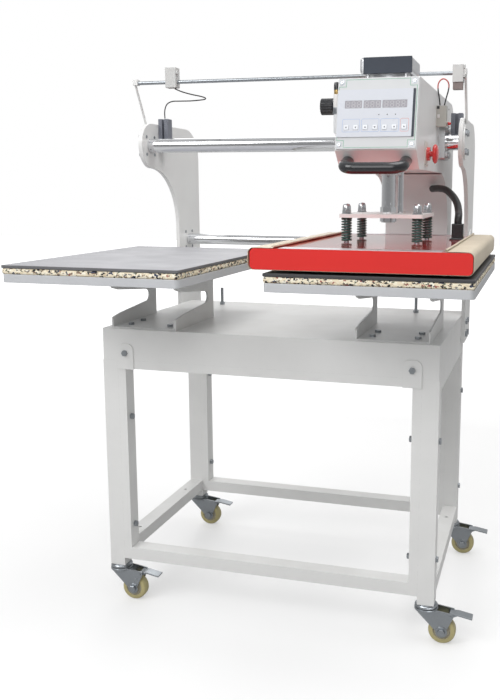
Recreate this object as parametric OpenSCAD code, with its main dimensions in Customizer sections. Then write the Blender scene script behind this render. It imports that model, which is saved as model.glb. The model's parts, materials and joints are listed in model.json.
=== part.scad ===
/* [Base and stand] */
// Width of the base box
base_w = 800; // [640:1:960]
// Depth of the base box
base_d = 518; // [430:1:625]
// Height of the base box's top above the floor
base_top = 684; // [560:1:825]
// Height of the base box's walls
base_h = 75; // [62:1:92]
// Sheet thickness of the base box and the trays
sheet_t = 2; // [1.5:0.1:3]
// Side of the square leg tube
leg_s = 38; // [30:1:46]
// Wall of the stand's tubes
tube_t = 2; // [1.5:0.1:3]
// Width of the bolted posts and height of the top rails
post_w = 20; // [16:1:26]
// Height of the bottom rails
low_rail_h = 30; // [24:1:38]
// Height of the bottom rails' underside above the floor
low_rail_z = 110; // [100:1:140]
// Width of the tabs that hold the base box
tab_w = 42; // [34:1:50]
// Thickness of the tabs
tab_t = 3; // [2:0.1:5]

/* [Casters] */
// Height from the floor to the foot of a leg
caster_h = 91; // [84:1:109]
// Wheel radius
wheel_r = 31; // [26:1:34]
// Wheel width
wheel_w = 24; // [20:1:28]
// Distance from the swivel to the axle
caster_trail = 37; // [32:1:42]
// Distance from the swivel to the tip of the brake pedal
pedal_reach = 104; // [88:1:120]
// Axle radius
axle_r = 4; // [3:0.5:5]
// Radius of the swivel cup
cup_r = 25; // [20:1:28]

/* [Tables] */
// Width of a table
table_w = 400; // [334:1:480]
// Depth of a table
table_d = 600; // [500:1:720]
// Distance from the stand's middle back to the tables' rear edge
table_rear = 97; // [40:1:100]
// Height of the pad's top above the floor
table_top = 852.5; // [820:0.5:900]
// Thickness of the silicone pad
pad_t = 6.5; // [5:0.5:8]
// Thickness of the rebonded foam board
foam_t = 12.5; // [10:0.5:15]
// Depth of the folded tray
tray_h = 17.5; // [14:0.5:21]
// Distance from the stand's middle to a table's middle
station_x = 287; // [260:1:300]
// Width of a table bracket
bracket_w = 165; // [138:1:198]
// Sheet thickness of a table bracket
bracket_t = 4; // [3:0.5:6]

/* [Side plates and rails] */
// Thickness of a side plate
plate_t = 10; // [8:0.5:12]
// Distance from the stand's middle back to a side plate's rear edge
plate_rear = 325; // [300:1:350]
// Radius of a side plate's round nose
nose_r = 57; // [50:1:62]
// Height of the main rail's axis
rail_z = 1120; // [1080:1:1160]
// Distance of the main rail's axis behind the stand's middle
rail_y = 20; // [10:1:30]
// Radius of the main rail
rail_r = 18; // [15:0.5:21]
// Height of the lower rail's axis
low_bar_z = 866; // [855:1:880]
// Distance of the lower rail's axis behind the stand's middle
low_bar_y = 248; // [238:1:256]
// Radius of the lower rail
low_bar_r = 15; // [12.5:0.5:18]
// Spacing of the four bolts around a rail's end
hub_pitch = 44; // [40:1:50]
// Height of the sensor bar's axis
sensor_z = 1272; // [1262:1:1290]
// Radius of the sensor bar
sensor_r = 4.5; // [3.5:0.5:6]

/* [Press head] */
// Width of the head and the carriage
head_w = 164; // [140:1:172]
// Height of the head's top
head_top = 1229; // [1215:1:1240]
// Height of the head's underside
head_bottom = 1050; // [1040:1:1060]
// Sheet thickness of the head and the carriage
shell_t = 3; // [2:0.5:4]
// Head's distance right of the stand's middle at rest
head_x = 272; // [260:1:280]
// Width of the square cylinder
cyl_w = 100; // [84:1:110]
// Distance of the cylinder's axis in front of the stand's middle
press_y = 200; // [195:1:210]
// Radius of the piston rod
rod_r = 15; // [12.5:0.5:18]
// Radius of the carry handle's tube
handle_r = 11.5; // [9:0.5:13]

/* [Heated platen] */
// Width of the platen's red cover
cover_w = 420; // [350:1:440]
// Depth of the platen's red cover
cover_d = 584; // [490:1:600]
// Height of the platen's red cover
cover_h = 40; // [34:1:48]
// Gap between the platen and the pad at rest
rest_gap = 6; // [4:0.5:10]
// Thickness of the non-stick fabric cover
fabric_t = 1; // [0.8:0.1:1.5]
// Thickness of the aluminium heater plate
heater_t = 24; // [20:1:28]
// Spacing of the spring bolts across the platen
spring_pitch = 150; // [125:1:180]
// Radius of a spring bolt
stud_r = 6; // [5:0.5:7]
// Outer radius of a press spring
spring_r = 11.5; // [10:0.5:13]
// Length of a press spring
spring_len = 49; // [41:1:58]
// Thickness of the cross plate
cross_t = 8; // [6:0.5:10]

/* [Clearances] */
// Running clearance of a bearing on its rail
run_gap = 0.1; // [0.02:0.01:0.1]
// Clearance of a bolt or a pin in its hole
bolt_gap = 0.25; // [0.1:0.05:0.5]
// Gap under a bolt head or nut
seat_gap = 0.1; // [0.05:0.05:0.3]
// Gap between pieces that move past each other
move_gap = 0.5; // [0.3:0.1:1]

/* [Hidden] */
$fn = 48;
// Rear and front reach set the stand's middle so that the origin is under the whole machine's middle
table_front = table_d - table_rear;
stand_y = (table_front - plate_rear) / 2;
base_bottom = base_top - base_h;
half_w = base_w / 2;
half_d = base_d / 2;
post_x = half_w - leg_s - post_w;
tab_x = half_w - leg_s - tab_w / 2;
tab_low = base_bottom - post_w - 1;
tab_high = base_bottom + 40;
tab_bolt_z = base_bottom + 18;
bolt_r = 4;
leg_x = half_w - leg_s / 2;
leg_y = half_d - leg_s / 2;
post_bolt_low = caster_h + 104;
post_bolt_high = caster_h + 377;
rail_hole_y = 140;

// Casters
fork_t = 3;
fork_gap = 1;
swivel_gap = 0.4;
cup_h = 9;
fork_top = caster_h - cup_h - swivel_gap;
fork_h = 7;
stem_r = 6;
stem_up = 26;
plug_h = 20;
pedal_x = 56;
pedal_z = fork_top - fork_h - 5;
pedal_w = 26;
pedal_side = 1;
pedal_ring = 2.5;
pin_r = 2.5;

// Tables
pad_bottom = table_top - pad_t;
foam_bottom = pad_bottom - foam_t;
tray_bottom = foam_bottom - tray_h;
table_mid_y = -table_front + table_d / 2;
bracket_x = station_x + 8;
bracket_front = -252;
bracket_d = 226;
bracket_h = foam_bottom - sheet_t - base_top;
bracket_bolt_x = bracket_w / 2 - 32;
bracket_bolts_y = [36, 96];
bracket_back = 52;
stud_x = station_x - 9;
stop_y = 195;

// Side plates and rails
plate_x = half_w;
nose_y = rail_y + 8;
plate_top = rail_z + nose_r;
throat_r = 156;
throat_z = rail_z - nose_r - throat_r;
throat_y = nose_y - 1;
plate_front = throat_y + throat_r;
plate_low = base_bottom + 1;
rear_r = 85;
hub_t = 4;
hub_r = 40;
hub_bolt_r = 4;
plate_bolts_y = [half_d - 55, half_d - 18];
plate_bolts_z = [base_bottom + 22, base_top - 20];
sensor_y = rail_y - 51;
post_r = 3;
post_x_out = plate_x + plate_t + post_r;
post_low = plate_top - 12;
post_lean = atan((nose_y - sensor_y) / (sensor_z - post_low));
channel_y = rail_y + 46;
channel_w = 28;
channel_d = 26;
channel_z0 = rail_z - 12;
channel_z1 = rail_z + 72;
left_block_x = -310;
right_block_x = half_w - 3;

// Press head, placed from its own middle
case_front_top = -325;
case_front_low = -355;
case_lip_z = 1087;
case_chin_y = -312;
case_rear = -60;
carriage_front = case_rear + 2;
carriage_rear = plate_rear - 27;
carriage_low = low_bar_z - 28;
carriage_throat_r = 142;
carriage_throat_y = 62;
carriage_throat_z = 903;
carriage_rear_r = 70;
flange_w = 82;
flange_edge = 12;
flange_t = 15;
housing_r = 29;
bush_r = 24;
panel_tilt = atan((case_front_top - case_front_low) / (head_top - case_lip_z));
panel_len = (head_top - case_lip_z) / cos(panel_tilt);
panel_w = head_w - 2;
panel_h = panel_len - 3;
panel_t = 3;
panel_pad_w = 150;
panel_pad_shift = 4;
panel_pad_h = 95;
screw_edge = 8.5;
panel_pad_t = 2;
key_w = 9.5;
key_h = 9.5;
key_lift = 1;
key_travel = 0.5;
key_gap = 0.3;
key_row = 28.4;
key_pitch = 19.3;
key_shift = 1.9;
key_seat = 3;
key_floor = 0.2;
key_bottom = panel_t + panel_pad_t - key_seat + key_travel + key_floor;
// Middle and width of the three display windows on the panel
display_places = [[-47.3, 35], [-9.3, 35], [35.7, 49]];
display_y = 17.5;
display_h = 15.5;
display_sink = 1;
screw_r = 3;
side_x = head_w / 2;
stop_y_head = -220;
stop_z = 1084;
switch_y = -57;
switch_z = 1174;
switch_w = 22;
switch_d = 26;
switch_h = 46;
plunger_z = 1158;
regulator_y = -170;
regulator_z = 1190;
regulator_w = 36;
knob_r = 18;
knob_len = 27;
handle_w = 118;
handle_bend = 24;
handle_y = -388;
handle_z = 1051;
handle_lean = 16;
cyl_top = 1280;
cap_h = 35;
cap_w = cyl_w + 10;
tie_r = 5;
cyl_low = head_bottom + 4;
nose_boss_r = 26;
nose_boss_h = 14;
gland_h = 20;
rod_top = 1215;
guide_x = 24;
guide_y = 14;
guide_r = 6;

// Heated platen
fabric_low = table_top + rest_gap;
cover_low = fabric_low + fabric_t;
cover_top = cover_low + cover_h;
cover_r = 9;
cover_wall = 5;
cover_mid_y = -table_front + cover_d / 2;
fabric_d = cover_d - 30;
flap_w = 50;
heater_low = cover_low + 0.3;
seat_h = 3;
stud_grip = 10;
spring_low = cover_top + seat_h;
cross_low = spring_low + spring_len;
cross_top = cross_low + cross_t;
cross_w = 176;
cross_d = 180;
nut_h = 13;
hex_r = 10;
rod_nut_r = 18;
rod_nut_h = 13;
socket_x = head_x + 142;
socket_y = -112;
socket_w = 26;
socket_h = 35.5;

// Route of the heater hose, from the carriage to the socket, from the stand's middle
hose_r = 8.5;
hose_route = [[322, 136, 1012], [344, 96, 1013], [366, 58, 1009], [388, 14, 994],
    [403, -32, 977], [411, -74, 958], [414, -106, 950], [414, -112, 942], [414, -112, 935]];
// Route of the limit sensor's wire, from the left block to the end channel
wire_r = 1.5;
wire_route = [[-304, -31, 1256], [-284, -30, 1248], [-262, -22, 1242], [-246, -6, 1239],
    [-242, 14, 1237], [-252, 34, 1236], [-274, 50, 1236], [-304, 62, 1236], [-336, 70, 1237],
    [-362, 74, 1237], [-379, 78, 1230], [-386, 79, 1214], [-386, 79, 1194]];
// Route of the limit switch's leads, a loop from terminal to terminal
lead_r = 1.5;
lead_route = [[361, -63, 1198], [359, -64, 1214], [356, -65, 1232], [356, -65, 1244],
    [360, -64, 1252], [367, -62, 1256], [375, -60, 1252], [379, -58, 1244],
    [378, -55, 1232], [373, -52, 1214], [369, -51, 1198]];

// ---- Shared shapes ----

// Moves from the origin to a point measured from the stand's middle on the floor
module at(x, y, z)
    translate([x, stand_y + y, z])
        children();

// Copies of a shape at the four corners of a rectangle
module corners(dx, dy)
    for (sx = [-1, 1], sy = [-1, 1])
        translate([sx * dx, sy * dy, 0])
            children();

// A rectangular tube standing along Z, open at both ends
module tube_z(w, d, h, t)
    difference() {
        translate([-w / 2, -d / 2, 0]) cube([w, d, h]);
        translate([-w / 2 + t, -d / 2 + t, -1]) cube([w - 2 * t, d - 2 * t, h + 2]);
    }

// A rectangular tube standing along Z, closed at its top
module capped_tube_z(w, d, h, t) {
    tube_z(w, d, h, t);
    translate([-w / 2, -d / 2, h - t]) cube([w, d, t]);
}

// A rectangular tube lying along X
module tube_x(l, d, h, t)
    translate([-l / 2, 0, 0])
        rotate([90, 0, 90])
            translate([0, h / 2, 0])
                tube_z(d, h, l, t);

// A rectangular tube lying along Y
module tube_y(w, l, h, t)
    translate([0, l / 2, h / 2])
        rotate([90, 0, 0])
            tube_z(w, h, l, t);

// A hexagon-headed bolt, its head above Z = 0 and its shank below
module hex_bolt(r, length) {
    cylinder(r = r * 1.85, h = r * 1.3, $fn = 6);
    translate([0, 0, -length]) cylinder(r = r, h = length + r * 0.5, $fn = 32);
}

// A hexagon nut with a clear hole
module hex_nut(r, hole, h)
    difference() {
        cylinder(r = r, h = h, $fn = 6);
        translate([0, 0, -1]) cylinder(r = hole, h = h + 2);
    }

// A plate outline with four round corners
module round_plate(w, d, h, r)
    linear_extrude(height = h)
        union() {
            square([w - 2 * r, d], center = true);
            square([w, d - 2 * r], center = true);
            corners(w / 2 - r, d / 2 - r) circle(r = r);
        }

// Extrudes an outline drawn as (Y, Z) along X, centred on X = 0
module along_x(l)
    translate([-l / 2, 0, 0])
        rotate([90, 0, 90])
            linear_extrude(height = l)
                children();

function unit(v) = v / norm(v);
function cross3(a, b) = [a[1] * b[2] - a[2] * b[1], a[2] * b[0] - a[0] * b[2], a[0] * b[1] - a[1] * b[0]];
function tangent(p, i) = unit(p[min(i + 1, len(p) - 1)] - p[max(i - 1, 0)]);
function side_of(t) = unit(cross3(t, abs(t[0]) < 0.8 ? [1, 0, 0] : [0, 1, 0]));
// The side vector at ring i, carried along the route so that the tube doesn't twist
function carried(p, i) = i == 0 ? side_of(tangent(p, 0))
    : let (t = tangent(p, i), s = carried(p, i - 1)) unit(s - (s * t) * t);

// A round tube of n sides swept along a list of points
module swept(p, r, n) {
    sides = [for (i = [0:len(p) - 1]) carried(p, i)];
    rings = [for (i = [0:len(p) - 1]) let (t = tangent(p, i), s = sides[i], u = cross3(t, s))
        for (k = [0:n - 1]) p[i] + r * (cos(360 * k / n) * s + sin(360 * k / n) * u)];
    last = (len(p) - 1) * n;
    faces = concat([[for (k = [0:n - 1]) n - 1 - k]],
        [for (i = [0:len(p) - 2], k = [0:n - 1])
            [i * n + k, i * n + (k + 1) % n, (i + 1) * n + (k + 1) % n, (i + 1) * n + k]],
        [[for (k = [0:n - 1]) last + k]]);
    polyhedron(points = rings,
        faces = [for (f = faces) [for (k = [len(f) - 1:-1:0]) f[k]]], convexity = 4);
}

// ---- Stand ----

// One welded side frame: two legs, a bottom rail and a top rail, open under the legs
module side_frame(side)
    difference() {
        union() {
            for (sy = [-1, 1])
                at(side * leg_x, sy * leg_y, caster_h)
                    capped_tube_z(leg_s, leg_s, base_bottom - caster_h, tube_t);
            at(side * leg_x, 0, low_rail_z) tube_y(leg_s, base_d - 2 * leg_s, low_rail_h, tube_t);
            at(side * leg_x, 0, base_bottom - low_rail_h)
                tube_y(leg_s, base_d - 2 * leg_s, low_rail_h, tube_t);
        }
        for (sy = [-1, 1], z = [post_bolt_low, post_bolt_high])
            at(side * leg_x, sy * leg_y, z)
                rotate([0, 90, 0])
                    cylinder(r = bolt_r + bolt_gap, h = leg_s + 2, center = true);
        for (sy = [-1, 1])
            at(side * leg_x, sy * rail_hole_y, low_rail_z + low_rail_h - tube_t - 1)
                cylinder(r = bolt_r, h = tube_t + 2);
    }

module side_frames()
    color("#e6e6e4") {
        side_frame(-1);
        side_frame(1);
    }

// A bolted cross frame: two posts, a top rail, a bottom rail and two tabs on its outer face
module cross_frame(side)
    color("#e6e6e4")
        difference() {
            union() {
                for (sx = [-1, 1])
                    at(sx * (post_x + post_w / 2), side * leg_y, low_rail_z)
                        tube_z(post_w, leg_s, base_bottom - post_w - low_rail_z, tube_t);
                at(0, side * leg_y, base_bottom - post_w)
                    tube_x(2 * (post_x + post_w), leg_s, post_w, tube_t);
                at(0, side * leg_y, low_rail_z)
                    tube_x(2 * post_x, leg_s, low_rail_h, tube_t);
                for (sx = [-1, 1])
                    at(sx * tab_x, side * (half_d + tab_t / 2), 0) tab();
            }
            for (sx = [-1, 1], z = [post_bolt_low, post_bolt_high])
                at(sx * (post_x + post_w / 2), side * leg_y, z)
                    rotate([0, 90, 0])
                        cylinder(r = bolt_r + bolt_gap, h = post_w + 2, center = true);
            for (sx = [-1, 1])
                at(sx * tab_x, side * half_d, tab_bolt_z)
                    rotate([90, 0, 0])
                        cylinder(r = bolt_r + bolt_gap, h = 2 * tab_t + 2, center = true);
        }

// A tab with round top corners
module tab()
    translate([0, tab_t / 2, 0])
        rotate([90, 0, 0])
            linear_extrude(height = tab_t)
                union() {
                    translate([-tab_w / 2, tab_low]) square([tab_w, tab_high - tab_low - 14]);
                    translate([-tab_w / 2 + 14, tab_low]) square([tab_w - 28, tab_high - tab_low]);
                    for (sx = [-1, 1])
                        translate([sx * (tab_w / 2 - 14), tab_high - 14]) circle(r = 14);
                }

module front_frame() cross_frame(-1);
module rear_frame() cross_frame(1);

// Bolts through the legs and posts, with nuts inside, and the tabs' bolts
module frame_bolts()
    color("silver") {
        for (sx = [-1, 1], sy = [-1, 1], z = [post_bolt_low, post_bolt_high])
            at(sx * half_w, sy * leg_y, z)
                rotate([0, sx * 90, 0]) {
                    hex_bolt(bolt_r, leg_s + post_w + 8);
                    translate([0, 0, -leg_s - post_w - 7]) hex_nut(bolt_r * 1.85, bolt_r, 7);
                }
        for (sx = [-1, 1], sy = [-1, 1])
            at(sx * tab_x, sy * (half_d + tab_t), tab_bolt_z)
                rotate([-sy * 90, 0, 0])
                    hex_bolt(bolt_r, tab_t + sheet_t + 8);
    }

// The folded base box, open underneath
module base_box()
    color("#dcdcda")
        difference() {
            at(0, 0, base_bottom) round_plate(base_w, base_d, base_h, 3);
            at(0, 0, base_bottom - 1)
                translate([-half_w + sheet_t, -half_d + sheet_t, 0])
                    cube([base_w - 2 * sheet_t, base_d - 2 * sheet_t, base_h + 1 - sheet_t]);
            for (sx = [-1, 1], sy = [-1, 1])
                at(sx * tab_x, sy * half_d, tab_bolt_z)
                    rotate([90, 0, 0])
                        cylinder(r = bolt_r + bolt_gap, h = 4 * sheet_t, center = true);
            for (sx = [-1, 1], y = plate_bolts_y, z = plate_bolts_z)
                at(sx * half_w, y, z)
                    rotate([0, 90, 0])
                        cylinder(r = bolt_r + bolt_gap, h = 4 * sheet_t, center = true);
            for (side = [-1, 1], sx = [-1, 1], y = bracket_bolts_y)
                at(side * bracket_x + sx * bracket_bolt_x, bracket_front + y, base_top)
                    cylinder(r = bolt_r + bolt_gap, h = 4 * sheet_t, center = true);
            for (side = [-1, 1])
                at(side * stud_x, stop_y, base_top)
                    cylinder(r = bolt_r + bolt_gap, h = 4 * sheet_t, center = true);
        }

// ---- Side plates and rails ----

// Outline of a side plate as (Y, Z): a round nose around the rail, and a throat under it
module plate_outline()
    difference() {
        union() {
            translate([nose_y, rail_z]) circle(r = nose_r, $fn = 96);
            translate([nose_y, plate_low]) square([plate_rear - rear_r - nose_y, plate_top - plate_low]);
            translate([nose_y, plate_low]) square([plate_rear - nose_y, plate_top - rear_r - plate_low]);
            translate([plate_rear - rear_r, plate_top - rear_r]) circle(r = rear_r, $fn = 96);
        }
        translate([throat_y, throat_z]) circle(r = throat_r, $fn = 128);
        translate([nose_y - nose_r - 1, plate_low - 1])
            square([plate_front - nose_y + nose_r + 1, throat_z - plate_low + 1]);
    }

module side_plate(side)
    difference() {
        at(side * (plate_x + plate_t / 2), 0, 0) along_x(plate_t) plate_outline();
        at(side * plate_x, rail_y, rail_z)
            rotate([0, 90, 0])
                cylinder(r = rail_r + bolt_gap, h = 4 * plate_t, center = true);
        at(side * plate_x, low_bar_y, low_bar_z)
            rotate([0, 90, 0])
                cylinder(r = low_bar_r + bolt_gap, h = 4 * plate_t, center = true);
        for (p = [[rail_y, rail_z], [low_bar_y, low_bar_z]])
            at(side * plate_x, p[0], p[1])
                rotate([0, 90, 0])
                    corners(hub_pitch / 2, hub_pitch / 2)
                        cylinder(r = hub_bolt_r + bolt_gap, h = 4 * plate_t, center = true);
        for (y = plate_bolts_y, z = plate_bolts_z)
            at(side * plate_x, y, z)
                rotate([0, 90, 0])
                    cylinder(r = bolt_r + bolt_gap, h = 4 * plate_t, center = true);
    }

module side_plates()
    color("#e2e2e0") {
        side_plate(-1);
        side_plate(1);
    }

module guide_rails()
    color("#c8ccd0")
        for (p = [[rail_y, rail_z, rail_r], [low_bar_y, low_bar_z, low_bar_r]])
            at(0, p[0], p[1])
                rotate([0, 90, 0])
                    cylinder(r = p[2], h = base_w + 2 * plate_t, center = true, $fn = 96);

// Round caps outside the plates that close the rails' ends
module rail_hubs()
    color("#dcdcda")
        for (side = [-1, 1], p = [[rail_y, rail_z], [low_bar_y, low_bar_z]])
            at(side * (plate_x + plate_t + hub_t / 2), p[0], p[1])
                rotate([0, 90, 0])
                    difference() {
                        cylinder(r = hub_r, h = hub_t, center = true);
                        corners(hub_pitch / 2, hub_pitch / 2)
                            cylinder(r = hub_bolt_r + bolt_gap, h = hub_t + 2, center = true);
                    }

// Bolts of the hubs, the side plates' feet and the table brackets
module plate_bolts()
    color("silver") {
        for (side = [-1, 1], p = [[rail_y, rail_z], [low_bar_y, low_bar_z]])
            at(side * (plate_x + plate_t + hub_t), p[0], p[1])
                rotate([0, side * 90, 0])
                    corners(hub_pitch / 2, hub_pitch / 2)
                        hex_bolt(hub_bolt_r, plate_t + hub_t + 1);
        for (side = [-1, 1], y = plate_bolts_y, z = plate_bolts_z)
            at(side * (plate_x + plate_t), y, z)
                rotate([0, side * 90, 0])
                    hex_bolt(bolt_r, plate_t + sheet_t + 8);
        for (side = [-1, 1], sx = [-1, 1], y = bracket_bolts_y)
            at(side * bracket_x + sx * bracket_bolt_x, bracket_front + y, base_top + bracket_t)
                hex_bolt(bolt_r, bracket_t + sheet_t + 8);
    }

// ---- Tables ----

// Web of a bracket as (Y, Z) from its front foot: a C that opens to the front
module bracket_outline()
    difference() {
        square([bracket_d, bracket_h]);
        translate([bracket_d - bracket_back, 58]) circle(r = 15);
        polygon([[-1, 26], [40, 32], [bracket_d - bracket_back, 43], [bracket_d - bracket_back, 73],
            [30, 88], [-1, 96]]);
    }

module table_bracket(side)
    difference() {
        at(side * bracket_x, bracket_front, base_top)
            union() {
                translate([-bracket_w / 2, 0, 0]) cube([bracket_w, bracket_d, bracket_t]);
                for (sx = [-1, 1]) {
                    translate([sx * (bracket_w - bracket_t) / 2, 0, 0])
                        along_x(bracket_t) bracket_outline();
                    translate([sx * (bracket_w / 2 - 16) - 16, 0, bracket_h - bracket_t])
                        cube([32, bracket_d, bracket_t]);
                }
            }
        for (sx = [-1, 1], y = bracket_bolts_y)
            at(side * bracket_x + sx * bracket_bolt_x, bracket_front + y, base_top)
                cylinder(r = bolt_r + bolt_gap, h = 4 * bracket_t, center = true);
    }

module table_brackets()
    color("#dededc") {
        table_bracket(-1);
        table_bracket(1);
    }

// Folded trays, open underneath, with round front corners
module table_trays()
    color("#bfc4cc")
        for (side = [-1, 1])
            at(side * station_x, table_mid_y, tray_bottom)
                difference() {
                    round_plate(table_w, table_d, tray_h, 10);
                    translate([0, 0, -1])
                        round_plate(table_w - 2 * sheet_t, table_d - 2 * sheet_t, tray_h + 1 - sheet_t, 8);
                }

module foam_boards()
    color("#d8c9a4")
        for (side = [-1, 1])
            at(side * station_x - table_w / 2, table_mid_y - table_d / 2, foam_bottom)
                cube([table_w, table_d, foam_t]);

module table_pads()
    for (side = [-1, 1])
        color(side < 0 ? "#a4a4a6" : "#4a4a4c")
            at(side * station_x - table_w / 2, table_mid_y - table_d / 2, pad_bottom)
                cube([table_w, table_d, pad_t]);

// Threaded studs with a nut above and a nut under the base box
module stop_studs()
    color("silver")
        for (side = [-1, 1])
            at(side * stud_x, stop_y, base_top) {
                translate([0, 0, -12]) cylinder(r = bolt_r, h = 60, $fn = 32);
                hex_nut(bolt_r * 1.85, bolt_r, 7);
                translate([0, 0, -sheet_t - 7]) hex_nut(bolt_r * 1.85, bolt_r, 7);
            }

// ---- Limit sensing ----

// The thin bar over the rails, carried by a leaning rod at each end
module sensor_bar()
    color("silver") {
        at(0, sensor_y, sensor_z)
            rotate([0, 90, 0])
                cylinder(r = sensor_r, h = 2 * (post_x_out + post_r), center = true);
        for (side = [-1, 1])
            at(side * post_x_out, nose_y, post_low)
                rotate([post_lean, 0, 0])
                    cylinder(r = post_r, h = norm([nose_y - sensor_y, sensor_z - post_low]), $fn = 24);
    }

// Clamp blocks on the bar that carry the limit sensors
module limit_blocks()
    difference() {
        union() {
            color("#d8d8d6") at(left_block_x, sensor_y, sensor_z + 10) block(28, 24, 48);
            color("#e8e8e6") at(right_block_x, sensor_y, sensor_z - 2) block(24, 26, 38);
            color("#8a6a60") at(right_block_x, sensor_y, sensor_z - 29) block(22, 20, 16);
            color("silver")
                for (dz = [-8, 12])
                    at(right_block_x + 12, sensor_y - 6, sensor_z + dz)
                        rotate([0, 90, 0])
                            hex_bolt(3, 10);
            color("silver")
                at(left_block_x + 14, sensor_y - 5, sensor_z + 22)
                    rotate([0, 90, 0])
                        hex_bolt(3, 10);
        }
        at(0, sensor_y, sensor_z)
            rotate([0, 90, 0])
                cylinder(r = sensor_r + run_gap, h = base_w + 80, center = true);
    }

module block(w, d, h)
    translate([-w / 2, -d / 2, -h / 2])
        cube([w, d, h]);

// Dark channels standing on the side plates' inner faces, which stop the carriage
module end_channels()
    color("#3c4048")
        for (side = [-1, 1])
            at(side * (plate_x - channel_w / 2), channel_y + channel_d / 2, channel_z0)
                difference() {
                    translate([-channel_w / 2, -channel_d / 2, 0])
                        cube([channel_w, channel_d, channel_z1 - channel_z0]);
                    translate([-3, -channel_d / 2 - 1, -1])
                        cube([6, 11, channel_z1 - channel_z0 + 2]);
                }

module limit_wire()
    color("#303030")
        translate([0, stand_y, 0])
            swept(wire_route, wire_r, 8);

// ---- Casters ----

// Swivel cups with a threaded stem into a plug in each leg
module caster_stems()
    color("#c9ccd0")
        for (sx = [-1, 1], sy = [-1, 1])
            at(sx * leg_x, sy * leg_y, 0) {
                translate([0, 0, caster_h - cup_h]) cylinder(r = cup_r - 3, h = cup_h);
                translate([0, 0, caster_h - 1]) cylinder(r = stem_r, h = stem_up);
                translate([-leg_s / 2 + tube_t + 0.3, -leg_s / 2 + tube_t + 0.3, caster_h + 3])
                    cube([leg_s - 2 * tube_t - 0.6, leg_s - 2 * tube_t - 0.6, plug_h]);
            }

// Corner n of the stand, 1 to 4: front left, front right, rear left, rear right
module at_caster(n)
    at((n % 2 == 1 ? -1 : 1) * leg_x, (n > 2 ? 1 : -1) * leg_y, 0)
        children();

// One caster's fork, trailing along +X, with its axle, nut and brake pin
module caster_fork(n) {
    inner = wheel_w / 2 + fork_gap;
    color("#c4c8cc")
        at_caster(n) {
            difference() {
                union() {
                    translate([0, 0, fork_top - fork_h]) cylinder(r = cup_r, h = fork_h);
                    for (sy = [-1, 1])
                        translate([0, sy * (inner + fork_t / 2) + fork_t / 2, 0])
                            rotate([90, 0, 0])
                                linear_extrude(height = fork_t)
                                    fork_outline();
                }
                for (p = [[caster_trail, wheel_r, axle_r], [pedal_x, pedal_z, pin_r]])
                    translate([p[0], 0, p[1]])
                        rotate([90, 0, 0])
                            cylinder(r = p[2] + bolt_gap, h = 4 * wheel_w, center = true);
            }
            translate([caster_trail, 0, wheel_r])
                rotate([90, 0, 0]) {
                    cylinder(r = axle_r, h = 2 * inner + 2 * fork_t + 10, center = true, $fn = 32);
                    for (m = [0, 1])
                        mirror([0, 0, m])
                            translate([0, 0, inner + fork_t + seat_gap])
                                cylinder(r = axle_r * 1.8, h = 4.5, $fn = 6);
                }
            translate([pedal_x, 0, pedal_z])
                rotate([90, 0, 0])
                    cylinder(r = pin_r, h = 2 * inner + 2 * fork_t + 2, center = true, $fn = 32);
        }
}

// A fork's cheek as (X, Z)
module fork_outline() {
    polygon([[-16, fork_top - 1], [-17, fork_top - 10], [caster_trail - 9, wheel_r - 4],
        [caster_trail + 10, wheel_r + 2], [pedal_x + 7, pedal_z - 1], [pedal_x + 6, pedal_z + 6],
        [24, fork_top - 1]]);
    translate([caster_trail, wheel_r]) circle(r = 10, $fn = 32);
    translate([pedal_x, pedal_z]) circle(r = 6, $fn = 32);
}

// A wheel with a tread, a hub and a bore for the axle
module caster_wheel(n)
    at_caster(n)
        translate([caster_trail, 0, wheel_r])
            rotate([90, 0, 0])
                color("#e4dca8")
                    rotate_extrude($fn = 96)
                        difference() {
                            polygon([[axle_r + bolt_gap, -wheel_w / 2], [wheel_r * 0.55, -wheel_w / 2],
                                [wheel_r * 0.6, -wheel_w / 2 + 2], [wheel_r - 7, -wheel_w / 2 + 2],
                                [wheel_r - 3, -wheel_w / 2 + 4], [wheel_r, -wheel_w / 2 + 8],
                                [wheel_r, wheel_w / 2 - 8], [wheel_r - 3, wheel_w / 2 - 4],
                                [wheel_r - 7, wheel_w / 2 - 2], [wheel_r * 0.6, wheel_w / 2 - 2],
                                [wheel_r * 0.55, wheel_w / 2], [axle_r + bolt_gap, wheel_w / 2]]);
                        }

// The brake pedal, a bent plate on a sleeve around its pin
module brake_pedal(n)
    color("#c9ccd0")
        at_caster(n)
            translate([pedal_x, pedal_w / 2 - pedal_side, pedal_z])
                rotate([90, 0, 0])
                    difference() {
                        union() {
                            cylinder(r = pin_r + pedal_ring, h = pedal_w - 2 * pedal_side, $fn = 32);
                            linear_extrude(height = pedal_w - 2 * pedal_side)
                                polygon([[0, -pin_r], [0, pin_r + 2], [16, 5.5],
                                    [pedal_reach - pedal_x, 0], [pedal_reach - pedal_x, -3.5], [16, 2],
                                    [pin_r + 4, -pin_r]]);
                        }
                        translate([0, 0, -pedal_side])
                            cylinder(r = pin_r + bolt_gap, h = pedal_w, $fn = 32);
                    }

// ---- Press head ----

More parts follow.
